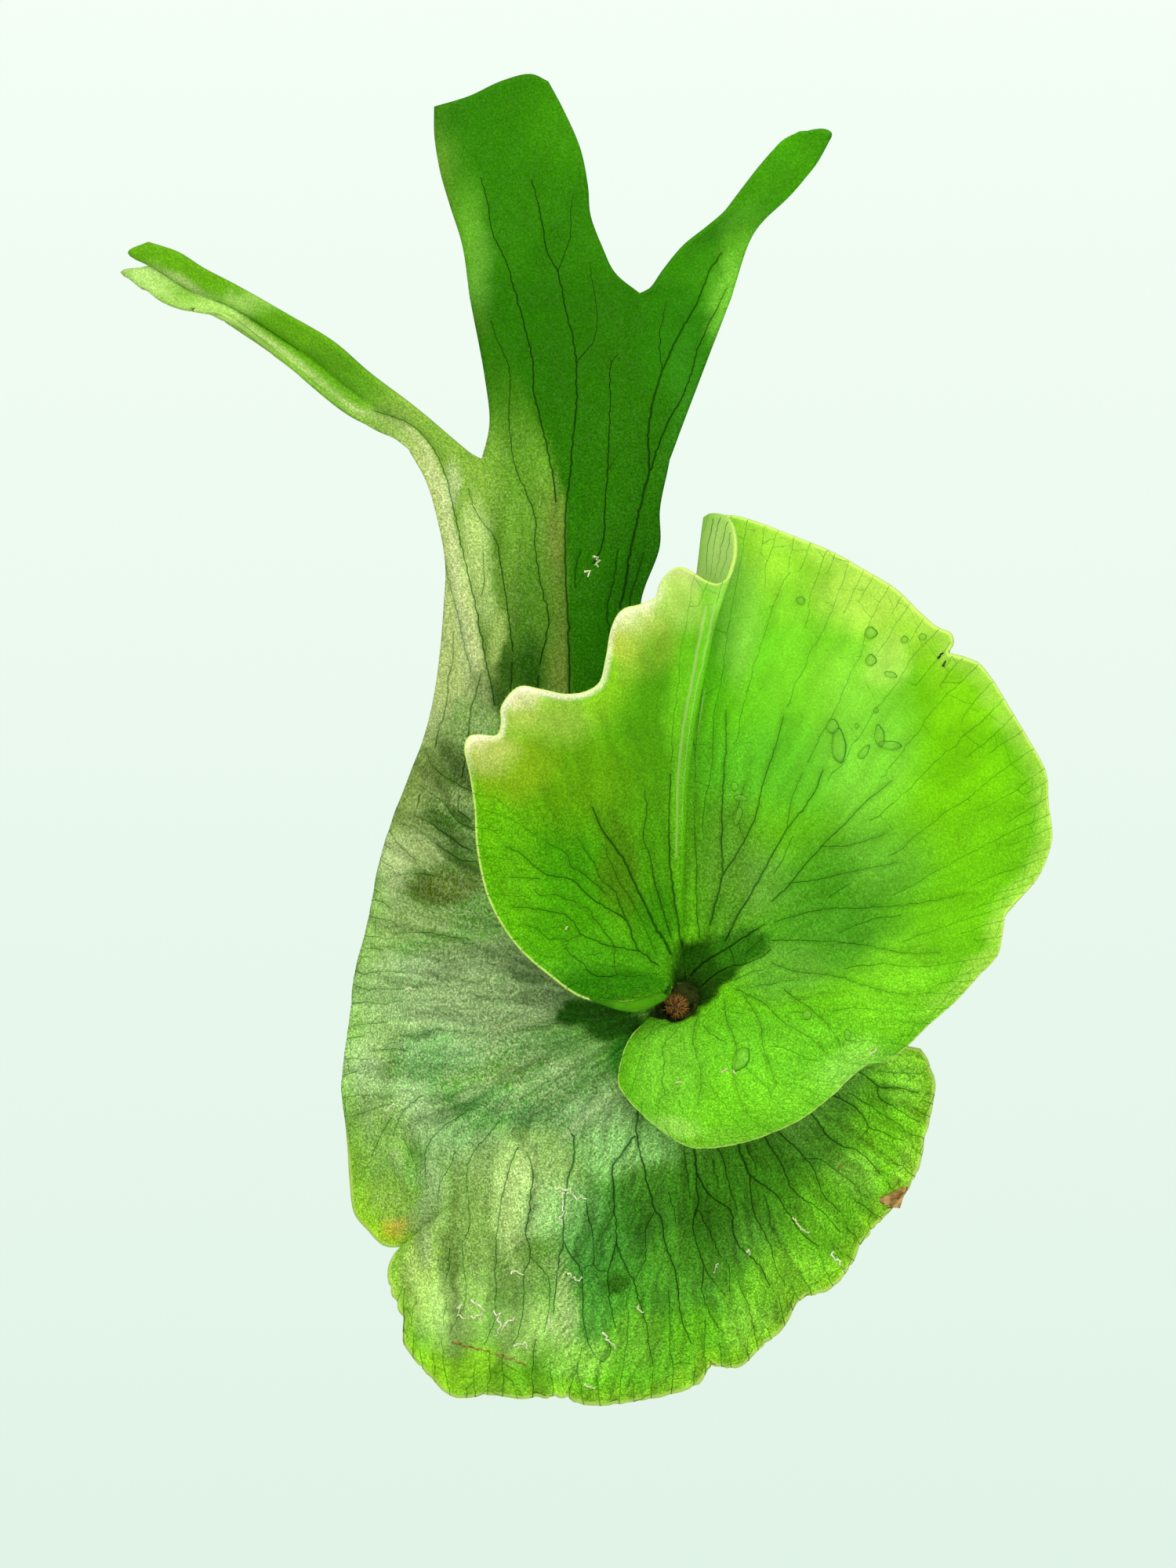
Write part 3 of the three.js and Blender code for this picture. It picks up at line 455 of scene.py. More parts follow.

# Broad colours, laid on as soft oval daubs: (x, y, half width, half height, colour, cover). A daub whose
# cover is 1 has a crisper edge: it is painted shade, in the hollows at the crown and in the young frond's
# throat, and under the young frond's lower edge, where the old leaf is also wet and bare of bloom. A few
# others are painted shadows, as marked.
OLD_DAUBS = [
    (900, 320, 60, 60, "348a02", 0.8), (940, 345, 26, 66, "74c42c", 0.8), (592, 330, 22, 90, "6cb42c", 0.7),
    (564, 132, 36, 56, "247404", 0.8), (705, 320, 30, 40, "1c6400", 0.5), (604, 412, 16, 30, "3c7410", 0.7),
    (926, 384, 24, 56, "7ccc38", 0.8), (968, 298, 26, 50, "78c82c", 0.7), (870, 440, 50, 90, "268404", 0.5),
    (900, 345, 18, 40, "3a9406", 0.6), (614, 345, 16, 50, "64a434", 0.5), (1010, 230, 90, 90, "45a006", 0.8),
    (178, 368, 44, 22, "bce47c", 0.8), (274, 394, 66, 18, "b2de6c", 0.8), (430, 447, 40, 20, "4c8c14", 0.5),
    (450, 490, 60, 24, "5c9c20", 0.4), (492, 536, 26, 20, "7ca040", 0.6), (730, 150, 60, 60, "3f9206", 0.6),
    (880, 560, 26, 120, "34861a", 0.5), (655, 850, 22, 30, "285608", 0.97), (668, 800, 16, 30, "3a6d12", 0.8),
    (630, 822, 12, 42, "a0bc5c", 0.85), (604, 700, 20, 56, "bcda78", 0.85), (688, 770, 28, 84, "407a0e", 0.7),
    (606, 762, 18, 50, "b8d478", 0.6), (575, 622, 12, 30, "cce098", 0.7), (606, 905, 24, 20, "6d9c40", 0.8),
    (624, 876, 20, 24, "587830", 0.75), (640, 888, 12, 20, "24500a", 0.95),
    (684, 850, 20, 44, "1c5203", 0.95), (545, 915, 30, 40, "c4d28c", 0.9), (540, 1010, 80, 90, "8b9b4d", 0.9),
    (590, 978, 34, 28, "40601a", 0.8), (575, 1040, 40, 24, "36620c", 0.95),
    (580, 1078, 30, 24, "2e5a0c", 0.85), (528, 1085, 46, 26, "a4b268", 0.8),
    (498, 1108, 24, 40, "ccd890", 0.7), (572, 1125, 50, 22, "46560c", 0.95),
    (530, 1170, 50, 26, "94aa5c", 0.7), (590, 1225, 60, 22, "50642a", 0.8),
    (470, 1200, 34, 90, "9dbd62", 0.7), (455, 1330, 34, 80, "92b85c", 0.8),
    (456, 1362, 26, 24, "b4d48c", 0.7), (500, 1290, 60, 50, "a0c470", 0.7),
    (500, 1250, 40, 40, "b4d488", 0.3), (560, 1292, 56, 30, "acca84", 0.65),
    # (700, 1284) below is a painted shadow under the young frond's lower edge.
    (600, 1325, 40, 24, "bcd89c", 0.35), (700, 1284, 60, 14, "365c26", 0.8),
    (620, 1318, 40, 14, "6a944e", 0.5), (640, 1260, 110, 60, "8ba368", 0.8),
    (560, 1345, 56, 22, "78b464", 0.8), (540, 1378, 34, 18, "5c9c4c", 0.7),
    (620, 1400, 50, 22, "4c943c", 0.85), (455, 1400, 30, 60, "b2d486", 0.75),
    (520, 1402, 40, 28, "b0d688", 0.75), (605, 1435, 44, 22, "60ac4c", 0.7),
    (545, 1430, 40, 32, "bada90", 0.55), (530, 1234, 30, 16, "b0cc8c", 0.5),
    (700, 1378, 40, 20, "3c7834", 0.6), (600, 1462, 44, 20, "a0c87c", 0.6),
    (680, 1330, 90, 22, "6c9a50", 0.75), (700, 1425, 56, 26, "427f3c", 0.8),
    (745, 1375, 60, 34, "5a8a42", 0.75), (770, 1420, 50, 26, "8fb173", 0.6),
    # (862, 1290) below is painted shade in the crown's opening; (745, 1290), (784, 1306) and (804, 1345) are
    # painted shade under the young frond, on leaf that is also wet and bare of bloom.
    (862, 1290, 34, 30, "101c06", 1.0), (745, 1290, 40, 16, "174c08", 1.0),
    (784, 1306, 36, 24, "184e08", 1.0), (804, 1345, 24, 30, "307c1c", 1.0),
    (485, 1450, 40, 50, "8dba48", 0.7), (478, 1550, 42, 46, "a4c81c", 0.95),
    (496, 1532, 20, 34, "74a030", 0.7), (450, 1510, 22, 60, "8cc03c", 0.85),
    (516, 1574, 22, 18, "cca824", 0.8), (545, 1600, 22, 60, "a2c050", 0.8),
    (550, 1530, 16, 56, "b8d890", 0.8), (650, 1500, 90, 44, "a2bf68", 0.7),
    (664, 1540, 34, 60, "c0d67c", 0.8), (585, 1560, 50, 60, "8aac48", 0.8),
    (690, 1592, 34, 24, "48800c", 0.85), (640, 1620, 60, 40, "7f9f46", 0.6),
    (530, 1650, 36, 42, "bcd868", 0.9), (716, 1690, 15, 90, "bad87a", 0.9),
    (700, 1500, 24, 60, "90b45a", 0.7), (722, 1545, 54, 32, "aada7c", 0.7),
    (742, 1560, 24, 36, "9ccc74", 0.6), (775, 1600, 52, 110, "3f8d2c", 0.9),
    # (860, 1545) below and (960, 1500) and (905, 1560) on the line after it are a painted shadow under the
    # young frond's lower lobe.
    (860, 1545, 90, 60, "2f6c12", 0.9), (816, 1456, 50, 24, "90c468", 0.85),
    (960, 1500, 110, 52, "35770c", 0.9), (905, 1560, 40, 34, "286207", 0.8),
    (850, 1660, 90, 60, "4d9a1e", 0.8), (600, 1740, 90, 34, "94d020", 0.9),
    (760, 1750, 120, 30, "70c41c", 0.85), (900, 1710, 70, 40, "67b414", 0.8),
    (980, 1640, 50, 40, "80cc20", 0.8), (1060, 1570, 70, 70, "68b414", 0.85),
    (1080, 1440, 50, 50, "4c9010", 0.7), (1140, 1450, 50, 90, "84d81c", 0.9),
    (1160, 1375, 36, 44, "98e03c", 0.85), (1139, 1528, 17, 13, "8a8a28", 0.4),
    (785, 1634, 15, 15, "245c08", 0.9), (576, 1668, 44, 46, "a8d05e", 0.75),
    (668, 1695, 40, 34, "b2d86c", 0.8), (910, 1605, 110, 24, "3a7a10", 0.65),
    (965, 1565, 50, 24, "3a7c10", 0.5), (1022, 1640, 30, 36, "98dc3c", 0.7),
    (962, 1696, 40, 22, "98dc3c", 0.7), (572, 1674, 22, 42, "c2e67a", 0.7),
    (800, 1705, 34, 30, "80cc2c", 0.6), (765, 1466, 40, 30, "98cc74", 0.6),
    (735, 1732, 40, 22, "a4dc54", 0.7), (950, 1625, 30, 20, "48901c", 0.6),
    (1090, 1495, 30, 26, "8ccc3c", 0.6), (990, 1530, 40, 40, "3c7e10", 0.55),
    (1012, 1625, 50, 28, "84cc28", 0.8), (1164, 1500, 24, 44, "a4e444", 0.8),
    (1126, 1398, 22, 36, "4c9810", 0.55),
]
YOUNG_DAUBS = [
    (640, 1080, 60, 130, "68b408", 0.9), (720, 1130, 110, 110, "409604", 0.9),
    (655, 1110, 30, 80, "5cac0c", 0.7), (730, 1060, 44, 80, "348404", 0.6),
    (842, 1090, 22, 90, "387c06", 0.6), (740, 990, 90, 70, "5c9408", 0.85),
    (640, 975, 60, 40, "86a818", 0.75), (602, 936, 25, 23, "fff4c4", 0.95),
    (622, 962, 34, 26, "d4d278", 0.55), (662, 908, 26, 24, "dcdc6c", 0.6), (664, 890, 24, 18, "fff2c4", 0.85),
    (700, 915, 60, 34, "a8c64a", 0.7), (805, 784, 32, 36, "f0f0b4", 0.9), (822, 758, 26, 22, "f8f6c8", 0.85),
    (790, 824, 22, 20, "d6d850", 0.7), (780, 880, 34, 40, "98c424", 0.5), (820, 830, 40, 34, "b8d248", 0.7),
    (830, 798, 18, 20, "cade54", 0.6), (868, 735, 34, 30, "c4cc7c", 0.9), (868, 775, 34, 34, "c4e868", 0.8),
    (790, 1095, 26, 60, "44700a", 0.8), (805, 1150, 20, 40, "44780a", 0.6),
    (830, 930, 40, 130, "448a08", 0.75), (835, 1180, 30, 50, "308006", 0.8),
    (705, 1238, 34, 20, "5cb41c", 0.6), (770, 1228, 80, 26, "2c8008", 0.6),
    (862, 1238, 16, 22, "2c6c08", 0.6), (770, 1262, 90, 26, "146602", 0.9),
    (876, 950, 20, 150, "66b41a", 0.7), (906, 900, 12, 140, "68c01c", 0.7),
    (930, 790, 26, 80, "98de48", 0.75), (1010, 690, 130, 50, "98dc34", 0.9),
    (1000, 762, 60, 40, "a8ea40", 0.5), (958, 712, 40, 44, "ace83e", 0.7),
    (940, 880, 60, 110, "70d41c", 0.85), (1050, 850, 100, 90, "7cda2a", 0.8),
    (1000, 980, 110, 60, "5cbc26", 0.8), (930, 1100, 44, 80, "4c8020", 0.8),
    (930, 1166, 50, 24, "3c7c14", 0.6), (985, 1130, 34, 40, "6b9c3e", 0.6),
    (1075, 1135, 84, 74, "3c9010", 0.95), (1130, 1070, 60, 70, "62b42c", 0.75),
    (1060, 1200, 90, 40, "3c9016", 0.8), (1000, 1240, 60, 30, "5f9f35", 0.6),
    # (905, 1225) and (948, 1206) below and (884, 1258) on the line after them are painted shade in the
    # throat.
    (905, 1225, 44, 34, "0f4402", 1.0), (948, 1206, 40, 25, "26680a", 1.0),
    (884, 1258, 32, 28, "0c3402", 1.0), (1215, 980, 90, 110, "70ca08", 0.9),
    (1250, 1130, 60, 90, "66bf0c", 0.8), (1160, 800, 50, 44, "a6e43e", 0.8),
    (1100, 765, 56, 40, "b8ec54", 0.85), (1100, 860, 50, 44, "8ce03c", 0.7),
    (938, 784, 26, 80, "a0e850", 0.75), (1136, 838, 26, 30, "b8f060", 0.7),
    (1105, 960, 66, 80, "80da3c", 0.7), (1240, 880, 60, 50, "84dc10", 0.8),
    (930, 1400, 120, 50, "74d020", 0.8), (1050, 1400, 80, 40, "84e02c", 0.8),
    (850, 1412, 46, 50, "80dc2e", 0.8), (905, 1458, 80, 24, "8cdc34", 0.6),
    # (1092, 1368) below is a painted highlight on the lower lobe's edge.
    (1010, 1340, 110, 50, "6ac626", 0.7), (1092, 1368, 50, 34, "9cea50", 0.85),
    (940, 1308, 60, 24, "54a818", 0.5), (880, 1365, 40, 30, "5cac22", 0.5),
    (856, 1436, 40, 14, "b0f060", 0.7), (1150, 1270, 70, 60, "78d222", 0.8),
    (850, 1350, 40, 60, "6ab52c", 0.7), (1200, 845, 30, 30, "8cd822", 0.6),
    (864, 1282, 24, 20, "0c1604", 1.0), (918, 700, 22, 44, "a6d468", 0.85),
]
# A lighter daub on the neck's left side, partly bloom and partly painted light like the rest of that side.
NECK_DAUBS = [(588, 606, 46, 74, "8cb83c", 0.75)]
# The young frond's grey bloom in the throat: (x, y, radius in full, radius at its end).
YOUNG_FROST = [(1075, 1140, 60, 110), (960, 1130, 40, 90)]
# Lines down the neck as (y, x): where its olive left part ends, which is partly bloom and partly painted
# light, and its palest streak, a painted highlight.
BLOOM_AND_LIGHT_BORDER = [
    (228, 600), (303, 612), (370, 632), (418, 655), (467, 676), (522, 690), (602, 712), (640, 722),
    (700, 722), (800, 725), (890, 728),
]
PAINTED_HIGHLIGHT_STREAK = [
    (600, 548), (640, 568), (680, 578), (720, 583), (760, 590), (800, 597), (840, 606), (880, 614),
]
# The crease between the strap's dark upper half and its pale lower half, which is partly painted light, as
# (x, y). It runs on down the neck.
STRAP_CREASE = [
    (150, 336), (200, 338), (233, 348), (314, 405), (381, 456), (441, 506), (458, 518), (483, 525),
    (508, 531), (529, 543), (548, 565), (560, 589), (569, 614), (575, 638), (580, 666), (587, 692),
    (602, 754), (614, 820), (625, 865), (640, 930),
]


# ---- Small helpers ----
def place(point):
    x, z, out = point
    return Vector((x, -out, z))


def fade(value, low=0.0, high=1.0):
    """0 below low, 1 above high and a smooth step between."""
    share = min(max((value - low) / (high - low), 0.0), 1.0)
    return share * share * (3 - 2 * share)


def bell(distance, width):
    """1 at no distance, falling smoothly to nothing a few widths away."""
    return math.exp(-(distance / width) ** 2)


def mix(first, second, share):
    return [a + (b - a) * share for a, b in zip(first, second)]


def colour(code):
    """A colour as light, from its hexadecimal code."""
    parts = [int(code[i:i + 2], 16) / 255 for i in (0, 2, 4)]
    return [p / 12.92 if p <= 0.04045 else ((p + 0.055) / 1.055) ** 2.4 for p in parts]


class Curve:
    """A smooth curve through places, even where they are unevenly spaced."""

    def __init__(self, places):
        self.places = places
        count = (len(places) - 1) * CURVE_SAMPLES
        self.fine = [self.at(i / count) for i in range(count + 1)]
        self.lengths = [0.0]
        for first, second in zip(self.fine, self.fine[1:]):
            self.lengths.append(self.lengths[-1] + (second - first).length)

    def at(self, share):
        last = len(self.places) - 1
        span = min(int(share * last), last - 1)
        t = share * last - span
        b, c = self.places[span], self.places[span + 1]
        a = self.places[span - 1] if span > 0 else 2 * b - c
        d = self.places[span + 2] if span + 2 <= last else 2 * c - b
        ab, bc, cd = (max((q - p).length, 1e-6) ** 0.5 for p, q in ((a, b), (b, c), (c, d)))
        leave = ((b - a) / ab - (c - a) / (ab + bc) + (c - b) / bc) * bc
        arrive = ((c - b) / bc - (d - b) / (bc + cd) + (d - c) / cd) * bc
        return (b + leave * t + (-3 * b + 3 * c - 2 * leave - arrive) * t ** 2
                + (2 * b - 2 * c + leave + arrive) * t ** 3)

    def at_length(self, length):
        i = min(max(bisect_left(self.lengths, length), 1), len(self.lengths) - 1)
        before, after = self.lengths[i - 1], self.lengths[i]
        t = (length - before) / max(after - before, 1e-9)
        return self.fine[i - 1].lerp(self.fine[i], min(max(t, 0.0), 1.0))

    def along(self, share):
        return self.at_length(share * self.lengths[-1])


def smooth_curve(points):
    return Curve([place(point) for point in points])


def pixel_curve(spots):
    """A curve through pixels, which stand for x and z."""
    return Curve([Vector((x, 0, y)) for x, y in spots])


def evenly(row, columns):
    return [row(i / columns) for i in range(columns + 1)]


def stretch_lengths(stretches):
    """The curve through all the stretches, and how far along it each of them ends."""
    curve = smooth_curve([point for stretch in stretches for point in stretch])
    ends = [0.0]
    seen = 0
    for stretch in stretches:
        seen += len(stretch)
        ends.append(curve.lengths[(seen - 1) * CURVE_SAMPLES])
    return curve, ends


def row_along(stretches, columns):
    """Places along the stretches, with the given number of columns in each."""
    curve, ends = stretch_lengths(stretches)
    row = []
    for start, end, count in zip(ends, ends[1:], columns):
        row += [curve.at_length(start + (end - start) * i / count) for i in range(count)]
    return row + [curve.at(1.0)]


def column_counts(stretches, step):
    _, ends = stretch_lengths(stretches)
    return [max(2, round((end - start) / step)) for start, end in zip(ends, ends[1:])]


# ---- Modelling helpers ----
def deselect():
    bpy.ops.object.select_all(action="DESELECT")


def activate(piece):
    deselect()
    piece.select_set(True)
    bpy.context.view_layer.objects.active = piece


def edit_all(piece, operator, **settings):
    activate(piece)
    bpy.ops.object.mode_set(mode="EDIT")
    bpy.ops.mesh.select_all(action="SELECT")
    operator(**settings)
    bpy.ops.object.mode_set(mode="OBJECT")


def smooth_shaded(piece):
    activate(piece)
    bpy.ops.object.shade_smooth()


def faced_outward(piece):
    """Turns the faces outward and shades them smooth."""
    edit_all(piece, bpy.ops.mesh.normals_make_consistent, inside=False)
    smooth_shaded(piece)


def apply_modifier(piece, kind, **settings):
    activate(piece)
    modifier = piece.modifiers.new(kind.title(), kind)
    for setting, value in settings.items():
        setattr(modifier, setting, value)
    bpy.ops.object.modifier_apply(modifier=modifier.name)


def finish_piece(piece, name, slot, *nodes):
    """Names a piece, sets it at the origin, hangs it on the root body and hides the nodes that it replaces.
    """
    piece.name = name
    activate(piece)
    bpy.ops.object.transform_apply(location=True, rotation=True, scale=True)
    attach(piece, "root")
    if nodes:
        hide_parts(*nodes)


def grid_piece(rows):
    """A grid, its points moved to the rows' places, in metres. Rows run from right to left."""
    deselect()
    bpy.ops.mesh.primitive_grid_add(x_subdivisions=len(rows[0]) - 1, y_subdivisions=len(rows) - 1, size=1)
    piece = bpy.context.active_object
    places = (point for row in rows for point in reversed(row))
    for vertex, point in zip(piece.data.vertices, places):
        vertex.co = point * MM
    return piece


def joined(pieces):
    """One piece of several, welded where their edges meet."""
    join_all(pieces)
    edit_all(pieces[0], bpy.ops.mesh.remove_doubles, threshold=0.01 * MM)
    return pieces[0]


def join_all(pieces):
    activate(pieces[0])
    for piece in pieces:
        piece.select_set(True)
    bpy.ops.object.join()


def rim_points(piece):
    """The numbers of the points on the blade's edge."""
    uses = {}
    for polygon in piece.data.polygons:
        for key in polygon.edge_keys:
            uses[key] = uses.get(key, 0) + 1
    return sorted({point for key, count in uses.items() if count == 1 for point in key})


def margin_tree(piece):
    """A tree of the edge's places, without the small opening at the crown."""
    crown = place(CROWN) * MM
    places = [piece.data.vertices[i].co for i in rim_points(piece)]
    return tree_of([spot for spot in places if math.hypot(spot.x - crown.x, spot.z - crown.z) > 9 * MM])


def relax_depth(piece, passes):
    """Evens out the depth where grids meet. The outline, seen from the front, stays."""
    group = piece.vertex_groups.new(name="inside")
    group.add(sorted(set(range(len(piece.data.vertices))) - set(rim_points(piece))), 1.0, "REPLACE")
    apply_modifier(piece, "SMOOTH", factor=0.5, iterations=passes, use_x=False, use_z=False,
                   vertex_group="inside")
    piece.vertex_groups.clear()


# ---- Old frond ----
def ring_share(t):
    """Rings stand closer toward the margin."""
    return t * (1.3 - 0.3 * t)


def row_across(curves, share):
    across = Curve([curve.along(share) for curve in curves])
    return evenly(across.at, (len(curves) - 1) * STRIP_COLUMNS)


def ribbon(lines, steps):
    curves = [smooth_curve(line) for line in lines]
    return evenly(lambda share: row_across(curves, share), steps)


def lobe(root, sides, steps, trough):
    """A lobe between the row it grows from, its two edges and its tip."""
    edge = {name: smooth_curve(points) for name, points in sides.items()}
    columns = len(root) - 1
    corners = root[0], root[-1], edge["tip"].at(0.0), edge["tip"].at(1.0)
    rows = []
    for j in range(steps + 1):
        v = j / steps
        right, left = edge["right"].along(v), edge["left"].along(v)
        row = []
        for i, start in enumerate(root):
            u = i / columns
            point = (start * (1 - v) + edge["tip"].at(u) * v + right * (1 - u) + left * u
                     - corners[0] * (1 - u) * (1 - v) - corners[1] * u * (1 - v)
                     - corners[2] * (1 - u) * v - corners[3] * u * v)
            point.y -= trough * math.sin(math.pi * u) * fade(2 * v) * (1 - v * v)
            row.append(point)
        rows.append(row)
    return rows


def evened(row, reach):
    """The row with each place set to the middle of its neighbours; its ends stay."""
    evened_row = []
    for i in range(len(row)):
        span = min(reach, i, len(row) - 1 - i)
        near_by = row[i - span:i + span + 1]
        evened_row.append(sum(near_by, Vector((0, 0, 0))) / len(near_by))
    return evened_row


def shield_fan(outer_row):
    """Rays from the crown to the shield's margin, domed toward the viewer. A notch dents only their ends."""
    crown = place(CROWN)
    soft_row = evened(evened(outer_row, 12), 8)
    rows = []
    for j in range(SHIELD_RINGS + 1):
        s = ring_share(j / SHIELD_RINGS)
        row = []
        for outer, soft in zip(outer_row, soft_row):
            end = soft.lerp(outer, fade(s, 0.55, 1.0))
            flat = Vector((end.x - crown.x, 0, end.z - crown.z))
            reach = THROAT + (flat.length - THROAT) * s
            point = crown + flat.normalized() * reach
            point.y = crown.y + (end.y - crown.y) * s * s
            row.append(point)
        rows.append(row)
    return rows


def crenate(row, length, depth):
    """The row with shallow uneven scallops along its margin."""
    crown = place(CROWN)
    scalloped = []
    for i, point in enumerate(row):
        outward = Vector((point.x - crown.x, 0, point.z - crown.z)).normalized()
        uneven = noise.noise(Vector((i * MARGIN_STEP / 7, 0, point.z / 10)))
        swing = depth * fade(noise.noise(Vector((i * MARGIN_STEP / 11, 5, 0))), -0.35, 0.3)
        scallop = abs(math.sin(math.pi * (i * MARGIN_STEP / length + uneven)))
        ends = fade(min(i, len(row) - 1 - i), 0, 4)
        scalloped.append(point + outward * (swing * (scallop - 0.7) + 0.3 * uneven) * ends)
    return scalloped


def old_frond_grids():
    neck = ribbon(NECK_LINES, NECK_STEPS)
    fork = ribbon(FORK_LINES, FORK_STEPS)
    fork[0] = neck[-1][:2 * STRIP_COLUMNS + 1]
    counts = column_counts(SHIELD_MARGIN, MARGIN_STEP)
    margin = row_along(SHIELD_MARGIN, counts)
    for stretch in (2, 3):
        first, last = sum(counts[:stretch]) + 1, sum(counts[:stretch + 1]) - 1
        margin[first:last] = crenate(margin[first:last], SCALLOP_LENGTH, SCALLOP_DEPTH)
    return {
        "fan": shield_fan(neck[0][:-1] + margin),
        "neck": neck,
        "fork": fork,
        "strap": lobe(neck[-1][2 * STRIP_COLUMNS:], STRAP, LOBE_STEPS["strap"], STRAP_TROUGH),
        "right": lobe(fork[-1][:STRIP_COLUMNS + 1], RIGHT_LOBE, LOBE_STEPS["right"], LOBE_TROUGH),
        "central": lobe(fork[-1][STRIP_COLUMNS:], CENTRAL_LOBE, LOBE_STEPS["central"], LOBE_TROUGH),
    }


def old_frond_lanes(grids):
    """Lanes that veins follow from the crown out: three up the neck and one across the shield."""
    strip = STRIP_COLUMNS
    lanes = []
    for first, ends in ((0, ("fork", "right")), (strip, ("fork", "central")), (2 * strip, ("strap",))):
        rows = [row[first:first + strip + 1] for row in grids["fan"] + grids["neck"][1:]]
        for end in ends:
            shift = first if end == "fork" else 0
            rows += [row[shift:shift + strip + 1] for row in grids[end][1:]]
        lanes.append(rows)
    lanes.append(bent_rays([row[3 * strip:] for row in grids["fan"]]))
    return lanes


def bent_rays(rows):
    """The shield's rays, those to its lower left margin bent so that they end straight downward."""
    bent = []
    for j in range(len(rows)):
        s = ring_share(j / (len(rows) - 1))
        row = []
        for straight, first, last in zip(rows[j], rows[0], rows[-1]):
            elbow = Vector((last.x, last.y, -10 + 0.12 * (last.x - first.x)))
            curved = first * (1 - s) ** 2 + elbow * 2 * s * (1 - s) + last * s * s
            row.append(straight.lerp(curved, fade(-last.z, 48, 62) * (1 - fade(last.x, -10, 22))))
        bent.append(row)
    return bent


# ---- The photograph's frame ----
def frame_spot(point):
    """The pixel of the photograph's frame at which a place is seen."""
    scale = VIEW_DISTANCE / (point.y - VIEW_POINT.y) / PIXEL
    return (FRAME_MIDDLE[0] + (point.x - VIEW_POINT.x) * scale,
            FRAME_MIDDLE[1] - (point.z - VIEW_POINT.z) * scale)


def sight_to(x, y):
    """The line of sight from the viewpoint to a pixel."""
    return Vector(((x - FRAME_MIDDLE[0]) * PIXEL, VIEW_DISTANCE, (FRAME_MIDDLE[1] - y) * PIXEL))


def under(piece, x, y):
    """The place on a piece that is seen at a pixel, and its normal, or None."""
    hit, foot, normal, _ = piece.ray_cast(VIEW_POINT, sight_to(x, y).normalized())
    return (foot, normal) if hit else None


def near(piece, x, y):
    """The same, or the nearest place where the pixel just misses the piece."""
    seen = under(piece, x, y)
    if seen:
        return seen
    _, foot, normal, _ = piece.closest_point_on_mesh(VIEW_POINT + sight_to(x, y))
    return foot, normal


def seen_at(x, y, depth):
    """The place in millimetres that is seen at a pixel, at a depth in metres."""
    scale = (depth - VIEW_POINT.y) / VIEW_DISTANCE * PIXEL
    return Vector((VIEW_POINT.x + (x - FRAME_MIDDLE[0]) * scale, depth,
                   VIEW_POINT.z + (FRAME_MIDDLE[1] - y) * scale)) / MM


def line_across(y, border):
    """The x of a border at height y."""
    if y <= border[0][0]:
        return border[0][1]
    for (y0, x0), (y1, x1) in zip(border, border[1:]):
        if y <= y1:
            return x0 + (x1 - x0) * (y - y0) / (y1 - y0)
    return border[-1][1]


def beside(x, y, line):
    """How far a pixel lies from a line, below zero to the left of it and under it."""
    nearest = math.inf
    for (x0, y0), (x1, y1) in zip(line, line[1:]):
        run, rise = x1 - x0, y1 - y0
        share = min(1, max(0, ((x - x0) * run + (y - y0) * rise) / (run * run + rise * rise)))
        right, down = x - x0 - share * run, y - y0 - share * rise
        if math.hypot(right, down) < abs(nearest):
            nearest = math.copysign(math.hypot(right, down), right * rise - down * run)
    return nearest


# ---- Veins: grown outward in lanes, forking where the gap is wide and joining where it is narrow ----
class Lane:
    def __init__(self, rows):
        self.rows = rows
        self.last = len(rows[0]) - 1
        self.widths = []
        for row in rows:
            widths = [0.0]
            for first, second in zip(row, row[1:]):
                widths.append(widths[-1] + (second - first).length)
            self.widths.append(widths)
        middle = len(rows[0]) // 2
        self.steps = [0.1] + [(b[middle] - a[middle]).length for a, b in zip(rows, rows[1:])]
        self.gone = [sum(self.steps[:i + 1]) for i in range(len(rows))]
        self.left = [self.gone[-1] - gone for gone in self.gone]

    def at(self, column, level):
        i = min(int(column), self.last - 1)
        return self.rows[level][i].lerp(self.rows[level][i + 1], column - i)

    def across(self, column, level):
        i = min(int(column), self.last - 1)
        return self.widths[level][i] + (self.widths[level][i + 1] - self.widths[level][i]) * (column - i)


def grow_veins(lane, gap_at, dice):
    """Veins as {level: column}, and the order in which they stand at each level."""
    count = max(2, round(lane.widths[0][-1] / gap_at(0.0, lane.left[0])))
    column = {k: lane.last * (k + 0.5) / count for k in range(count)}
    veins = [{} for _ in range(count)]
    alive = list(range(count))
    orders = []
    for level, step in enumerate(lane.steps):
        gap = gap_at(lane.gone[level], lane.left[level])
        now = [column[vein] for vein in alive]
        bounds = [-now[0]] + now + [2 * lane.last - now[-1]]
        pull = 0.5 * (1 - math.exp(-step / (1.5 * gap)))
        wander = 0.06 * math.sqrt(step * gap) * lane.last / lane.widths[level][-1]
        for k, vein in enumerate(alive):
            middle = (bounds[k] + bounds[k + 2]) / 2
            moved = now[k] + pull * (middle - now[k]) + dice.gauss(0, wander)
            column[vein] = min(max(moved, 0.2), lane.last - 0.2)
        alive.sort(key=column.get)
        for vein in alive:
            veins[vein][level] = column[vein]
        alive = forked_and_joined(lane, level, gap, alive, column, veins, dice)
        orders.append(alive)
    return veins, orders


def forked_and_joined(lane, level, gap, alive, column, veins, dice):
    """One level of a lane: close veins join, and a wide gap gets a fork."""
    kept = [alive[0]]
    for vein in alive[1:]:
        before = kept[-1]
        space = lane.across(column[vein], level) - lane.across(column[before], level)
        if space < 0.35 * gap and len(alive) > 2 and level > 3:
            veins[before][level] = column[vein]
            kept[-1] = vein
            continue
        if space > 1.6 * gap:
            parent, side = (before, 0.3) if dice.random() < 0.5 else (vein, -0.3)
            veins.append({level: column[parent]})
            column[len(veins) - 1] = column[parent] + side * (column[vein] - column[before])
            kept.append(len(veins) - 1)
        kept.append(vein)
    return kept


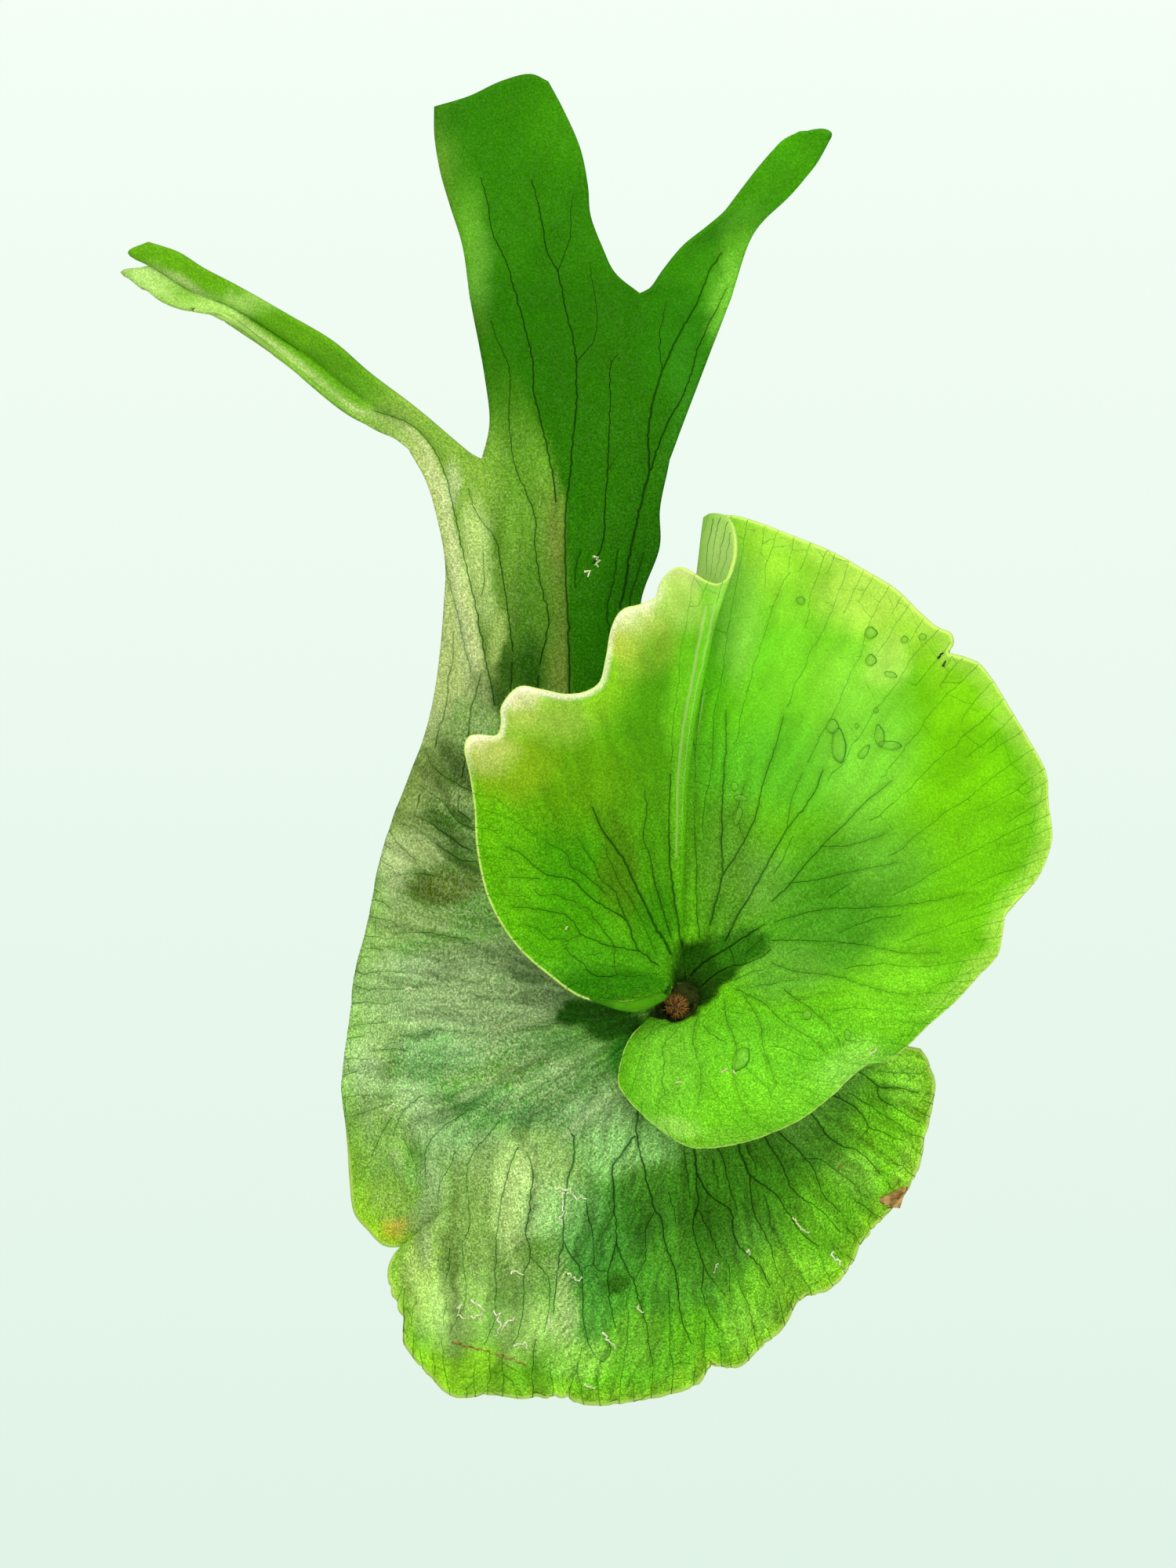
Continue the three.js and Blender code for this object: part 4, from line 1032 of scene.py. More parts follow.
def linked(lane, veins, orders, gap_at, dice):
    """Short cross veins between neighbours."""
    links = []
    due = {}
    for level, order in enumerate(orders):
        gap = gap_at(lane.gone[level], lane.left[level])
        for pair in zip(order, order[1:]):
            if lane.gone[level] < due.setdefault(pair, lane.gone[level] + gap * dice.uniform(0.3, 1.6)):
                continue
            due[pair] = lane.gone[level] + gap * dice.uniform(1.1, 2.4)
            start, end = pair if dice.random() < 0.5 else pair[::-1]
            reach = level + max(1, round(dice.uniform(0.1, 0.7) * gap / lane.steps[level]))
            if level in veins[start] and reach in veins[end]:
                first = lane.at(veins[start][level], level)
                last = lane.at(veins[end][reach], reach)
                middle = first.lerp(last, dice.uniform(0.35, 0.65))
                bend = (last - first).length * dice.uniform(-0.12, 0.12)
                links.append([first, first.lerp(middle, 0.5), middle + Vector((0, 0, bend)), last])
    return links


def grown(piece, lane, kind, dice):
    """Paths of (place, thickness) on the blade for the lane's veins and their cross links."""
    def gap_at(gone, left):
        inner = kind["gap"] + kind["more_gap"] * fade(gone, 0, kind["out"])
        return inner - (inner - kind["margin_gap"]) * (1 - fade(left, *kind["close"]))

    def thickness_at(left):
        return kind["thin"] + kind["thicker"] * fade(left, *kind["swell"])

    veins, orders = grow_veins(lane, gap_at, dice)
    paths = []
    for vein in veins:
        path = [(lane.at(column, level), thickness_at(lane.left[level])) for level, column in vein.items()]
        if len(path) > 2:
            paths.append(path)
    for link in linked(lane, veins, orders, gap_at, dice):
        paths.append([(point, kind["link"]) for point in link])
    return [[(on_blade(piece, point * MM, 0.0), thick) for point, thick in path] for path in paths]


def on_blade(piece, point, lift):
    """The point's foot on the blade, lifted along its normal."""
    _, foot, normal, _ = piece.closest_point_on_mesh(point)
    return foot + normal * lift


def drawn(piece, features, dice, waver=0.5, step=5.0):
    """Paths of (place, thickness) on the blade under lines of the photograph's frame."""
    paths = []
    for thickness, spots in features:
        curve = pixel_curve(spots)
        thickness *= VEIN_BREADTH
        count = max(3, round(curve.lengths[-1] / step))
        path = []
        for i in range(count + 1):
            at = curve.along(i / count) + Vector((dice.gauss(0, waver), 0, dice.gauss(0, waver)))
            seen = under(piece, at.x, at.z)
            if seen:
                path.append((seen[0], thickness * (1 - 0.5 * i / count)))
        if len(path) > 2:
            paths.append(path)
    return paths


def tree_of(points):
    tree = KDTree(len(points))
    for i, point in enumerate(points):
        tree.insert(point, i)
    tree.balance()
    return tree


def stretches(paths, wanted, least=3):
    """The stretches of the paths whose points are wanted, with at least so many points."""
    kept = []
    for path in paths:
        stretch = []
        for point, thickness in path:
            if wanted(point):
                stretch.append((point, thickness))
                continue
            kept.append(stretch)
            stretch = []
        kept.append(stretch)
    return [stretch for stretch in kept if len(stretch) >= least]


def round_strap_root(piece):
    """Rounds the step where the strap leaves the neck: its depth becomes the mean depth round about."""
    middle_x, middle_y, full, end = STRAP_ROOT
    spots = [(x, y) for x in range(440, 690, 6) for y in range(450, 700, 6)]
    seen = [(x, y, under(piece, x, y)[0].y) for x, y in spots if under(piece, x, y)]
    tree = tree_of([Vector((x, y, 0)) for x, y, _ in seen])
    moves = {}
    for vertex in piece.data.vertices:
        x, y = frame_spot(vertex.co)
        share = 1 - fade(math.hypot(x - middle_x, y - middle_y), full, end)
        if share > 0:
            about = tree.find_range(Vector((x, y, 0)), STRAP_ROOT_REACH)
            weights = [(1 - (distance / STRAP_ROOT_REACH) ** 2) ** 2 for _, _, distance in about]
            mean = sum(weight * seen[i][2] for weight, (_, i, _) in zip(weights, about)) / sum(weights)
            moves[vertex.index] = share * (mean - vertex.co.y)
    for i, move in moves.items():
        piece.data.vertices[i].co.y += move


def emboss(piece, height_at):
    """Moves each point of a blade along its normal by a height in millimetres."""
    moves = [vertex.normal * height_at(vertex.co) * MM for vertex in piece.data.vertices]
    for vertex, move in zip(piece.data.vertices, moves):
        vertex.co += move


def cords(piece, paths, lifts, name):
    """Fine rounded cords along the paths, sunk in the blade, on the sides given by lifts."""
    data = bpy.data.curves.new(name, "CURVE")
    data.dimensions = "3D"
    data.bevel_depth = MM
    data.bevel_resolution = 0
    data.use_fill_caps = True
    for path in paths:
        for lift in lifts:
            spline = data.splines.new("POLY")
            spline.points.add(len(path) - 1)
            for point, (position, thickness) in zip(spline.points, path):
                point.co = (*on_blade(piece, position, lift * MM), 1.0)
                point.radius = thickness
    line = bpy.data.objects.new(name, data)
    bpy.context.collection.objects.link(line)
    activate(line)
    bpy.ops.object.convert(target="MESH")
    return bpy.context.active_object


# ---- Paint: the broad colours, kept as attributes on each blade ----
OLD = {name: colour(code) for name, code in OLD_TONES.items()}
YOUNG = {name: colour(code) for name, code in YOUNG_TONES.items()}


def paint(piece, paint_at, **measures):
    """Each point's colour, its bloom in the alpha, and named measures such as its distance to the rim."""
    layer = piece.data.color_attributes.new(name="paint", type="FLOAT_COLOR", domain="POINT")
    for i, vertex in enumerate(piece.data.vertices):
        layer.data[i].color = paint_at(vertex.co)
    for name, measure_at in measures.items():
        values = piece.data.attributes.new(name=name, type="FLOAT", domain="POINT")
        for i, vertex in enumerate(piece.data.vertices):
            values.data[i].value = measure_at(vertex.co)


def old_grain(co):
    """How strongly the hairs show as grain: most on the shield, least on the upper blade."""
    x, y = frame_spot(co)
    shield = fade(y, 1150, 1350) - 1.2 * fade(y, 1600, 1680) * (1 - fade(x, 640, 760))
    return 0.9 + 0.6 * fade(y, 420, 620) + 0.5 * shield


def young_grain(co):
    """Most on the lower lobe and the left half, least at the pale teeth and the upper right."""
    x, y = frame_spot(co)
    lower = fade(y, 1180, 1330)
    upper_right = fade(x + 0.3 * (1000 - y), 880, 1020) * (1 - lower) * (1.3 - 0.5 * fade(y, 900, 1100))
    return 1.9 - upper_right - 0.8 * (1 - fade(x, 860, 960)) * (1 - fade(y, 940, 1080))


def daubed(shade, x, y, daubs):
    """The shade under all the daubs that reach a pixel of the frame."""
    for centre_x, centre_y, wide, high, tint, cover in daubs:
        reach = math.hypot((x - centre_x) / wide, (y - centre_y) / high)
        crisp = 0.35 if cover == 1.0 else 0.0
        if reach < 1.5:
            shade = mix(shade, colour(tint), cover * (1 - fade(reach, 0.45 + crisp, 1.5 - crisp)))
    return shade


def warped(co, size, amount):
    """The pixel at which a place is seen, shifted by smooth noise and a finer one."""
    x, y = frame_spot(co)
    shift = noise.noise_vector(co / (size * MM)) + 0.4 * noise.noise_vector(co / (2.6 * MM))
    return x + amount * shift.x, y + amount * shift.z


def streaks(x, y, count, length):
    """Smooth noise drawn out along the veins, about -1 to 1; low on the left they bend straight down."""
    dx, dy = x - CROWN_PIXEL[0], y - CROWN_PIXEL[1]
    bend = (1 - fade(x, 700, 860)) * fade(y, 1390, 1480)
    turn = math.atan2(dy - bend * (y - 1430), dx) * count
    return noise.noise(Vector((turn, math.hypot(dx, dy) / length, count)))


def layered(x, y, layers):
    return sum(strength * streaks(x, y, count, length) for strength, count, length in layers)


def neck_paint(shade, x, y):
    """Left of a sharp border the neck is olive: partly bloom and partly painted light on the side that faces
    the lamp. Also how far left of it, and low, the pixel lies.
    """
    border = line_across(y, BLOOM_AND_LIGHT_BORDER)
    soft = 6 + 60 * (1 - fade(y, 300, 640))
    left = (1 - fade(x, border - soft, border + 3)) * (1 - fade(y, 900, 960))
    olive = fade(x, border - 36, border - 14) * fade(y, 590, 680)
    middle = mix(OLD["neck"], OLD["neck_low"], fade(y, 560, 860))
    middle = mix(middle, OLD["olive"], 0.75 * olive)
    rib = 1 + 0.45 * noise.noise(Vector((x / 8, y / 150, 3)))
    shade = mix(shade, [band * rib for band in middle], left * (0.05 + 0.9 * fade(y, 440, 620)))
    return daubed(shade, x, y, NECK_DAUBS), left * fade(y, 420, 620)


def strap_paint(shade, x, y):
    """The strap is dark above its crease and pale below it. The pale band, partly bloom and partly painted
    light on the half that faces up to the lamp, runs on down the neck, with painted highlights along it.
    """
    strap = (1 - fade(x, 500, 600)) * (1 - fade(y, 560, 640))
    shade = mix(shade, mix(OLD["strap"], OLD["strap_foot"], fade(x, 450, 540)), strap)
    if x > 720 or y > 980:
        return shade, 0.0
    band = beside(x, y, STRAP_CREASE)
    rib = 1 + 0.22 * noise.noise(Vector((band / 4, (x + y) / 120, 2)))
    side = mix(OLD["band"], OLD["band_low"], fade(x + y, 990, 1150))
    # Painted highlights in the band: a streak down the neck and a line just beside the crease.
    width = 3 + 0.035 * max(0, y - 600)
    streak = 1 - fade(abs(x - line_across(y, PAINTED_HIGHLIGHT_STREAK)), width, width + 5)
    side = mix(side, OLD["streak"], max(0.7 * streak, 0.6 * bell(band + 7, 4)))
    pale = (1 - fade(band, -5, 3)) * (1 - fade(y, 880, 980))
    return mix(shade, [tone * rib for tone in side], 0.95 * pale), pale


def shield_paint(shade, x, y, shield, edge):
    """The shield's green, its daubs, bright margin and streaks, with dark fibres low on the right."""
    shade = daubed(mix(shade, OLD["shield"], shield), x, y, OLD_DAUBS)
    margin = shield * (1 - fade(edge + 3 * streaks(x, y, *RAGGED), 0.5, 6)) * fade(x + y, 1700, 1960)
    shade = mix(shade, OLD["margin"], 0.65 * margin)
    streak = shield * layered(x, y, OLD_STREAKS)
    strong = 0.7 + 0.4 * fade(x, 460, 540) - 0.25 * fade(x, 760, 900)
    shade = [band * max(0.2, 1 + strong * streak) for band in shade]
    fibre = shield * fade(streaks(x, y, *OLD_FIBRES), 0.12, 0.5) * fade(y + 0.6 * x, 1880, 2060)
    shade = mix(shade, [0.5 * band for band in shade], 0.7 * fibre)
    shade[0] *= 1 - 0.1 * shield
    return shade, streak


def shield_frost(x, y, shield):
    """Bloom on the shield's left side, thinner low down and bare in two hollows under the young frond."""
    frost = shield * (1 - fade(x + 0.25 * (y - 1300), 700, 940)) * (1 - 0.8 * fade(y, 1640, 1730))
    frost *= (1 - 0.5 * fade(y, 1410, 1480)) * fade(math.hypot((x - 765) / 2.2, y - 1306), 30, 50)
    return frost * fade(math.hypot(x - 802, y - 1340), 30, 46)


def old_paint(rim, ridges):
    def at(co):
        x, y = warped(co, 14, 16)
        edge = rim.find(co)[2] / MM
        shield = fade(y, 890, 960)
        shade, left = neck_paint(mix(OLD["lobes"], OLD["neck_dark"], fade(y, 300, 400)), *frame_spot(co))
        shade, pale = strap_paint(shade, *frame_spot(co))
        shade, streak = shield_paint(shade, x, y, shield, edge)
        # A painted highlight along the raised ridges.
        shade = mix(shade, OLD["ridge_highlight"], 0.6 * bell(ridges.find(co)[2], 0.9 * MM))
        bloom = 0.25 * left + 0.4 * pale * fade(y, 560, 680)
        bloom += 0.85 * shield_frost(x, y, shield) * fade(edge, 0.5, 7)
        bloom *= 0.35 + 0.65 * fade(shade[1], 0.12, 0.36)
        return (*shade, min(1.0, max(0.04, bloom * (1 + streak))))
    return at


def young_paint(rim):
    def at(co):
        x, y = warped(co, 12, 14)
        edge = rim.find(co)[2] / MM
        streak = layered(x, y, YOUNG_STREAKS)
        shade = [band * (1 + 0.3 * streak) for band in daubed(YOUNG["blade"], x, y, YOUNG_DAUBS)]
        tooth = (1 - fade(x, 690, 920)) * (1 - fade(y, 900, 1010))
        shade = mix(shade, YOUNG["tooth"], 0.9 * tooth * (1 - fade(edge, 0.4, 1.7)))
        shade[0] *= 1 + 0.09 * fade(x, 960, 1060) * (1 - fade(y, 1180, 1300))
        # A painted highlight along the right margin, where the blade bends.
        light = fade(x, 880, 1060) * (1 - fade(y, 1230, 1320))
        light *= 1 - fade(edge + 2 * streaks(x, y, *RAGGED), 0.5, 5)
        shade = mix(shade, YOUNG["margin"], 0.5 * light)
        frost = sum(1 - fade(math.hypot(x - mid_x, y - mid_y), full, end)
                    for mid_x, mid_y, full, end in YOUNG_FROST)
        return (*shade, 0.06 + 0.26 * min(1.0, frost))
    return at


# ---- Materials ----
class Recipe:
    """A material put together node by node."""

    def __init__(self, name, **sockets):
        self.material = bpy.data.materials.new(name)
        self.material.use_nodes = True
        self.tree = self.material.node_tree
        self.shader = self.tree.nodes["Principled BSDF"]
        self.place = self.node("ShaderNodeTexCoord").outputs["Object"]
        for socket, value in sockets.items():
            self.feed(self.shader.inputs[socket.replace("_", " ")], value)

    def feed(self, socket, value):
        if isinstance(value, bpy.types.NodeSocket):
            self.tree.links.new(value, socket)
        else:
            socket.default_value = value

    def node(self, kind, inputs=(), **settings):
        node = self.tree.nodes.new(kind)
        for setting, value in settings.items():
            setattr(node, setting, value)
        for socket, value in dict(inputs).items():
            self.feed(node.inputs[socket], value)
        return node

    def noise(self, size, detail=2.0, roughness=0.5, vector=None):
        """Soft noise whose lumps are about size millimetres across."""
        inputs = {"Vector": vector or self.place, "Scale": 1 / (size * MM), "Detail": detail,
                  "Roughness": roughness}
        return self.node("ShaderNodeTexNoise", inputs).outputs["Fac"]

    def steps(self, value, low, high, to_low=0.0, to_high=1.0):
        inputs = {"Value": value, "From Min": low, "From Max": high, "To Min": to_low, "To Max": to_high}
        return self.node("ShaderNodeMapRange", inputs, interpolation_type="SMOOTHSTEP").outputs["Result"]

    def maths(self, operation, first, second):
        return self.node("ShaderNodeMath", {0: first, 1: second}, operation=operation).outputs[0]

    def times(self, first, second):
        return self.maths("MULTIPLY", first, second)

    def plus(self, first, second):
        return self.maths("ADD", first, second)

    def attribute(self, name):
        return self.node("ShaderNodeAttribute", attribute_name=name).outputs["Fac"]

    def painted(self):
        """The paint's colour and its alpha."""
        layer = self.node("ShaderNodeVertexColor", layer_name="paint")
        return layer.outputs["Color"], layer.outputs["Alpha"]

    def blend(self, first, second, share, blend_type="MIX"):
        inputs = {0: share, 6: first, 7: second}
        return self.node("ShaderNodeMix", inputs, data_type="RGBA", blend_type=blend_type).outputs[2]

    def deepen(self, first, second, share=1.0):
        return self.blend(first, second, share, "MULTIPLY")

    def grey(self, value):
        return self.node("ShaderNodeCombineColor", {0: value, 1: value, 2: value}).outputs[0]

    def bump(self, height, strength, depth):
        inputs = {"Height": height, "Strength": strength, "Distance": depth * MM}
        node = self.node("ShaderNodeBump", inputs)
        self.feed(self.shader.inputs["Normal"], node.outputs["Normal"])

    def coloured(self, base):
        """The finished material, with its colour."""
        self.feed(self.shader.inputs["Base Color"], base)
        return self.material


def rgba(code):
    return (*colour(code), 1.0)


def bloomed(recipe, base, alpha, bloom):
    """Bloom, rubbed off in patches: painted shade between its grains, and pale with dust."""
    patches = recipe.steps(recipe.noise(6.0, 4.0, 0.65), 0.34, 0.6, 0.55, 1.0)
    cover = recipe.times(alpha, patches)
    dust = recipe.steps(recipe.noise(0.55, 2.0, 0.6), 0.43, 0.57)
    shadow = recipe.steps(recipe.noise(0.7, 3.0, 0.6), 0.36, 0.58, 0.6, 1.0)
    base = recipe.deepen(base, recipe.grey(shadow), recipe.times(cover, 0.8))
    return recipe.blend(base, rgba(bloom), recipe.times(recipe.times(cover, dust), 0.62))


def haired(recipe, base, grain):
    """Painted shade in pits and painted light on the pale hairs, where the piece has grain."""
    strength = recipe.attribute("grain")
    pits = recipe.steps(recipe.noise(0.45, 2.0, 0.6), 0.36, 0.52, grain, 0.0)
    base = recipe.deepen(base, PIT_SHADE, recipe.times(pits, strength))
    hairs = recipe.steps(recipe.noise(0.38, 1.0, 0.5), 0.5, 0.6, 0.0, grain)
    return recipe.blend(base, recipe.deepen(base, HAIR_LIGHT), recipe.times(hairs, strength))


def rimmed(recipe, base, rim_pale, rim_reach):
    """A ragged pale line along the rim, partly the margin's pale down and partly a painted glow where the
    thin margin is backlit, and the blade a little deeper beside its veins.
    """
    ragged = recipe.plus(recipe.attribute("rim"), recipe.times(recipe.noise(0.5, 2.0), 0.4))
    line = recipe.steps(ragged, 0.3 * rim_reach, 0.75 * rim_reach, rim_pale, 0.0)
    base = recipe.blend(base, rgba(RIM_LINE), line)
    return recipe.blend(base, rgba(BESIDE_VEIN), recipe.steps(recipe.attribute("vein"), 0.1, 1.2, 0.25, 0.0))


def blade_material(name, grain, roughness, darken=1.0, pale=0.0, rim_pale=0.0, rim_reach=1.0):
    """A frond's skin: its paint, bloom rubbed off in patches, and fine pale hairs as grain, with painted
    light on them and painted shade in the pits between.
    """
    recipe = Recipe(name, Roughness=roughness, Specular_IOR_Level=0.16, Specular_Tint=LEAF_GLOSS)
    tones = OLD_TONES if name.startswith("old") else YOUNG_TONES
    base, alpha = recipe.painted()
    if darken != 1.0:
        base = recipe.deepen(base, (darken, darken, darken, 1.0))
    base = haired(recipe, bloomed(recipe, base, alpha, tones["bloom"]), grain)
    soft = recipe.steps(recipe.noise(5.0, 4.0, 0.6), 0.3, 0.7, 0.94, 1.06)
    base = recipe.deepen(base, recipe.grey(soft))
    if rim_pale:
        base = rimmed(recipe, base, rim_pale, rim_reach)
    if pale:
        base = recipe.blend(base, rgba(UNDERSIDE), pale)
    recipe.bump(recipe.noise(0.42, 3.0, 0.65), 0.5, 0.22)
    return recipe.coloured(base)


def skin(name):
    return blade_material(name, **SKINS[name])


def vein_material(name):
    """A vein: the frond's paint deepened, with a little of its texture."""
    recipe = Recipe(name, Roughness=0.6, Specular_IOR_Level=0.15, Specular_Tint=LEAF_GLOSS)
    paint_colour, alpha = recipe.painted()
    deep = recipe.deepen(paint_colour, (*VEIN_SHADES[name], 1.0))
    base = recipe.blend(deep, paint_colour, recipe.steps(alpha, 0.1, 0.9, 0.0, 0.2))
    soft = recipe.steps(recipe.noise(1.2, 3.0, 0.6), 0.3, 0.7, 0.8, 1.35)
    return recipe.coloured(recipe.deepen(base, recipe.grey(soft)))


def wood_material():
    recipe = Recipe("board_wood", Roughness=0.62)
    along = recipe.node("ShaderNodeMapping", {"Vector": recipe.place, "Scale": (1.0, 1.0, 0.07)}).outputs[0]
    bands = recipe.noise(4.5, 4.0, 0.6, along)
    fibres = recipe.noise(0.7, 3.0, 0.6, along)
    light, band, fibre = (rgba(WOOD_TONES[tone]) for tone in ("light", "band", "fibre"))
    base = recipe.blend(light, band, recipe.steps(bands, 0.35, 0.68))
    base = recipe.blend(base, fibre, recipe.steps(fibres, 0.5, 0.75, 0.0, 0.55))
    recipe.bump(fibres, 0.5, 0.4)
    return recipe.coloured(base)


def speckled_material(name):
    light, dark, size, roughness = SPECKLED[name]
    recipe = Recipe(name, Roughness=roughness)
    recipe.bump(recipe.noise(size * 0.3, 3.0), 0.5, 0.3)
    speckles = recipe.steps(recipe.noise(size, 3.0), 0.35, 0.65)
    return recipe.coloured(recipe.blend(rgba(light), rgba(dark), speckles))


def water_material():
    """Clear water over the leaf. Its colour and cover come from the drop's paint: painted shade at its foot,
    where it covers more, and painted light on its top.
    """
    recipe = Recipe("water", Roughness=0.06, IOR=1.33, Specular_IOR_Level=0.9)
    paint_colour, alpha = recipe.painted()
    recipe.feed(recipe.shader.inputs["Alpha"], alpha)
    return recipe.coloured(paint_colour)


# ---- Fronds ----
def finish_blade(piece, thickness, skins):
    """Gives the blade its thickness, with skins for its face, its underside and its edge."""
    for name in skins:
        piece.data.materials.append(skin(name))
    apply_modifier(piece, "SOLIDIFY", thickness=thickness * MM, offset=0.0, material_offset=1,
                   material_offset_rim=2)
    faced_outward(piece)


def finish_cords(piece, paths, lifts, name, slot, material, painter=None):
    line = cords(piece, paths, lifts, name)
    if painter:
        paint(line, painter)
    line.data.materials.append(material)
    smooth_shaded(line)
    finish_piece(line, name, slot)


def make_marks(piece, marks, lift, slot, dice):
    """Small scars and specks: (lines, thickness, waver and step in pixels, name, finish) for each kind."""
    for lines, thickness, waver, step, name, finish in marks:
        paths = drawn(piece, [(thickness, line) for line in lines], dice, waver, step)
        finish_cords(piece, paths, (lift,), name, slot, speckled_material(finish))


def vein_ground(x, y):
    """Where fine veins show: not on the upper neck, nor under the bloom left of the crown and below it."""
    return y > 700 and (y < 1100 or y > 1640 or x > 850 or (x < 520 and y < 1440))


def blade_height(veins, swell, swell_width, waves, wave_size):
    """Soft swelling between veins and slow waves, in millimetres."""
    def height(co):
        quilt = swell * (1 - math.exp(-veins.find(co)[2] / (swell_width * MM)))
        return quilt + waves * noise.noise(co / (wave_size * MM))
    return height


def pleats(co):
    """Low folds that run outward over the shield's lower part, in millimetres."""
    dx, dz = co.x / MM - CROWN[0], co.z / MM - CROWN[1]
    outward = fade(math.hypot(dx, dz), 15, 60) * fade(30 - dz, 0, 30)
    turn = math.atan2(dz, dx)
    fine = 0.3 * noise.noise(Vector((turn * 14, math.hypot(dx, dz) / 30, 0)))
    return (PLEATS["height"] * math.sin(PLEATS["count"] * turn) + fine) * outward


def neck_valley(x, y):
    """The strap's crease running on down the neck, in millimetres."""
    if x > 720 or y > 920:
        return 0.0
    return 0.9 * bell(beside(x, y, STRAP_CREASE), 10) * fade(y, 520, 590) * (1 - fade(y, 780, 920))


def points_of(paths):
    return [point for path in paths for point, _ in path]


def finish_veins(piece, veins, lifts, slot, painter):
    for name, paths in veins.items():
        finish_cords(piece, paths, lifts, name + "s", slot, vein_material(name), painter)


def old_fine_veins(piece, grids, main, dice):
    """Fine veins of the old frond, but for those beside its main veins and where none show."""
    def shows(at):
        return main.find(at)[2] > VEIN_CLEARANCE * MM and vein_ground(*frame_spot(at))

    fine = []
    for rows in old_frond_lanes(grids):
        fine += grown(piece, Lane(rows), OLD_FINE, dice)
    return [path for path in stretches(fine, shows, 4) if len(path) > 8 or frame_spot(path[0][0])[1] > 900]


def make_old_frond():
    grids = old_frond_grids()
    piece = joined([grid_piece(rows) for rows in grids.values()])
    relax_depth(piece, RELAX_PASSES)
    round_strap_root(piece)
    dice = random.Random(11)
    main = drawn(piece, OLD_VEINS, dice)
    main_tree = tree_of(points_of(main))
    fine = old_fine_veins(piece, grids, main_tree, dice)
    ridges = tree_of(points_of(drawn(piece, OLD_RIDGES, dice, waver=0.4)))
    height = blade_height(tree_of(points_of(main + fine)), 0.3, 1.1, 0.3, 13)
    emboss(piece, lambda co: height(co) + pleats(co) + 0.8 * bell(ridges.find(co)[2], 1.3 * MM)
           - neck_valley(*frame_spot(co)))
    rim = margin_tree(piece)
    painter = old_paint(rim, ridges)
    finish_veins(piece, {"old_frond_vein": main, "old_frond_fine_vein": fine}, OLD_CORD_LIFTS,
                 "old_frond_green", painter)
    make_marks(piece, [(PALE_SCARS, 0.3, 1.8, 2.5, "old_frond_scars", "scar_pale"),
                       (BROWN_SCARS, 0.22, 1.2, 2.5, "old_frond_dry_marks", "scar_brown")],
               0.5, "old_frond_green", dice)
    make_dry_corner(piece)
    paint(piece, painter, grain=old_grain, vein=lambda co: main_tree.find(co)[2] / MM,
          rim=lambda co: rim.find(co)[2] / MM + 3 * (1 - fade(sum(frame_spot(co)), 1700, 1960)))
    finish_blade(piece, BLADE_OLD, ("old_frond_green", "old_frond_under", "old_frond_edge"))
    finish_piece(piece, "old_frond_blade", "old_frond_green", "old_frond")


def young_rows():
    rings = [[stretch[ring] for stretch in YOUNG_STRETCHES] for ring in ("margin", "waist", "throat")]
    counts = column_counts(rings[0], YOUNG_STEP)
    margin, waist, throat = (row_along(ring, counts) for ring in rings)
    rows = []
    for j in range(YOUNG_RINGS + 1):
        s = ring_share(j / YOUNG_RINGS)
        rows.append([a * (1 - s) * (1 - 2 * s) + b * 4 * s * (1 - s) + c * s * (2 * s - 1)
                     for a, b, c in zip(throat, waist, margin)])
    return rows


def young_fine_veins(piece, rows, main, dice):
    """Fine veins of the young frond, but for those beside its main veins and on its teeth."""
    fine = grown(piece, Lane(rows), YOUNG_FINE, dice)
    fine = stretches(fine, lambda at: main.find(at)[2] > VEIN_CLEARANCE * MM)
    return [path for path in fine if frame_spot(path[-1][0])[1] > 1010 or frame_spot(path[-1][0])[0] > 880]


def make_young_frond():
    rows = young_rows()
    piece = grid_piece(rows)
    dice = random.Random(5)
    main = drawn(piece, YOUNG_VEINS, dice)
    main_tree = tree_of(points_of(main))
    fine = young_fine_veins(piece, rows, main_tree, dice)
    emboss(piece, blade_height(tree_of(points_of(main + fine)), 0.24, 1.2, 0.3, 11))
    rim = margin_tree(piece)
    painter = young_paint(rim)
    finish_veins(piece, {"young_frond_vein": main, "young_frond_fine_vein": fine}, YOUNG_CORD_LIFTS,
                 "young_frond_green", painter)
    ridges = drawn(piece, YOUNG_RIDGES, dice, waver=0.3)
    finish_cords(piece, ridges, CREST_LIFTS, "young_frond_crest", "young_frond_green",
                 skin("young_frond_crest"), painter)
    make_crest_hairs(piece, ridges, dice)
    make_marks(piece, [(YOUNG_SPECKS, 0.3, 0.8, 2.5, "young_frond_specks", "speck_pale"),
                       (YOUNG_DARK_SPECKS, 0.3, 0.5, 2.0, "young_frond_dark_specks", "speck_dark")],
               0.45, "young_frond_green", dice)
    make_hem(piece, painter)
    make_drops(piece)
    make_margin_hairs(rows, dice)
    paint(piece, painter, grain=young_grain, rim=lambda co: rim.find(co)[2] / MM,
          vein=lambda co: main_tree.find(co)[2] / MM)
    finish_blade(piece, BLADE_YOUNG, ("young_frond_green", "young_frond_under", "young_frond_edge"))
    finish_piece(piece, "young_frond_blade", "young_frond_green", "young_frond")


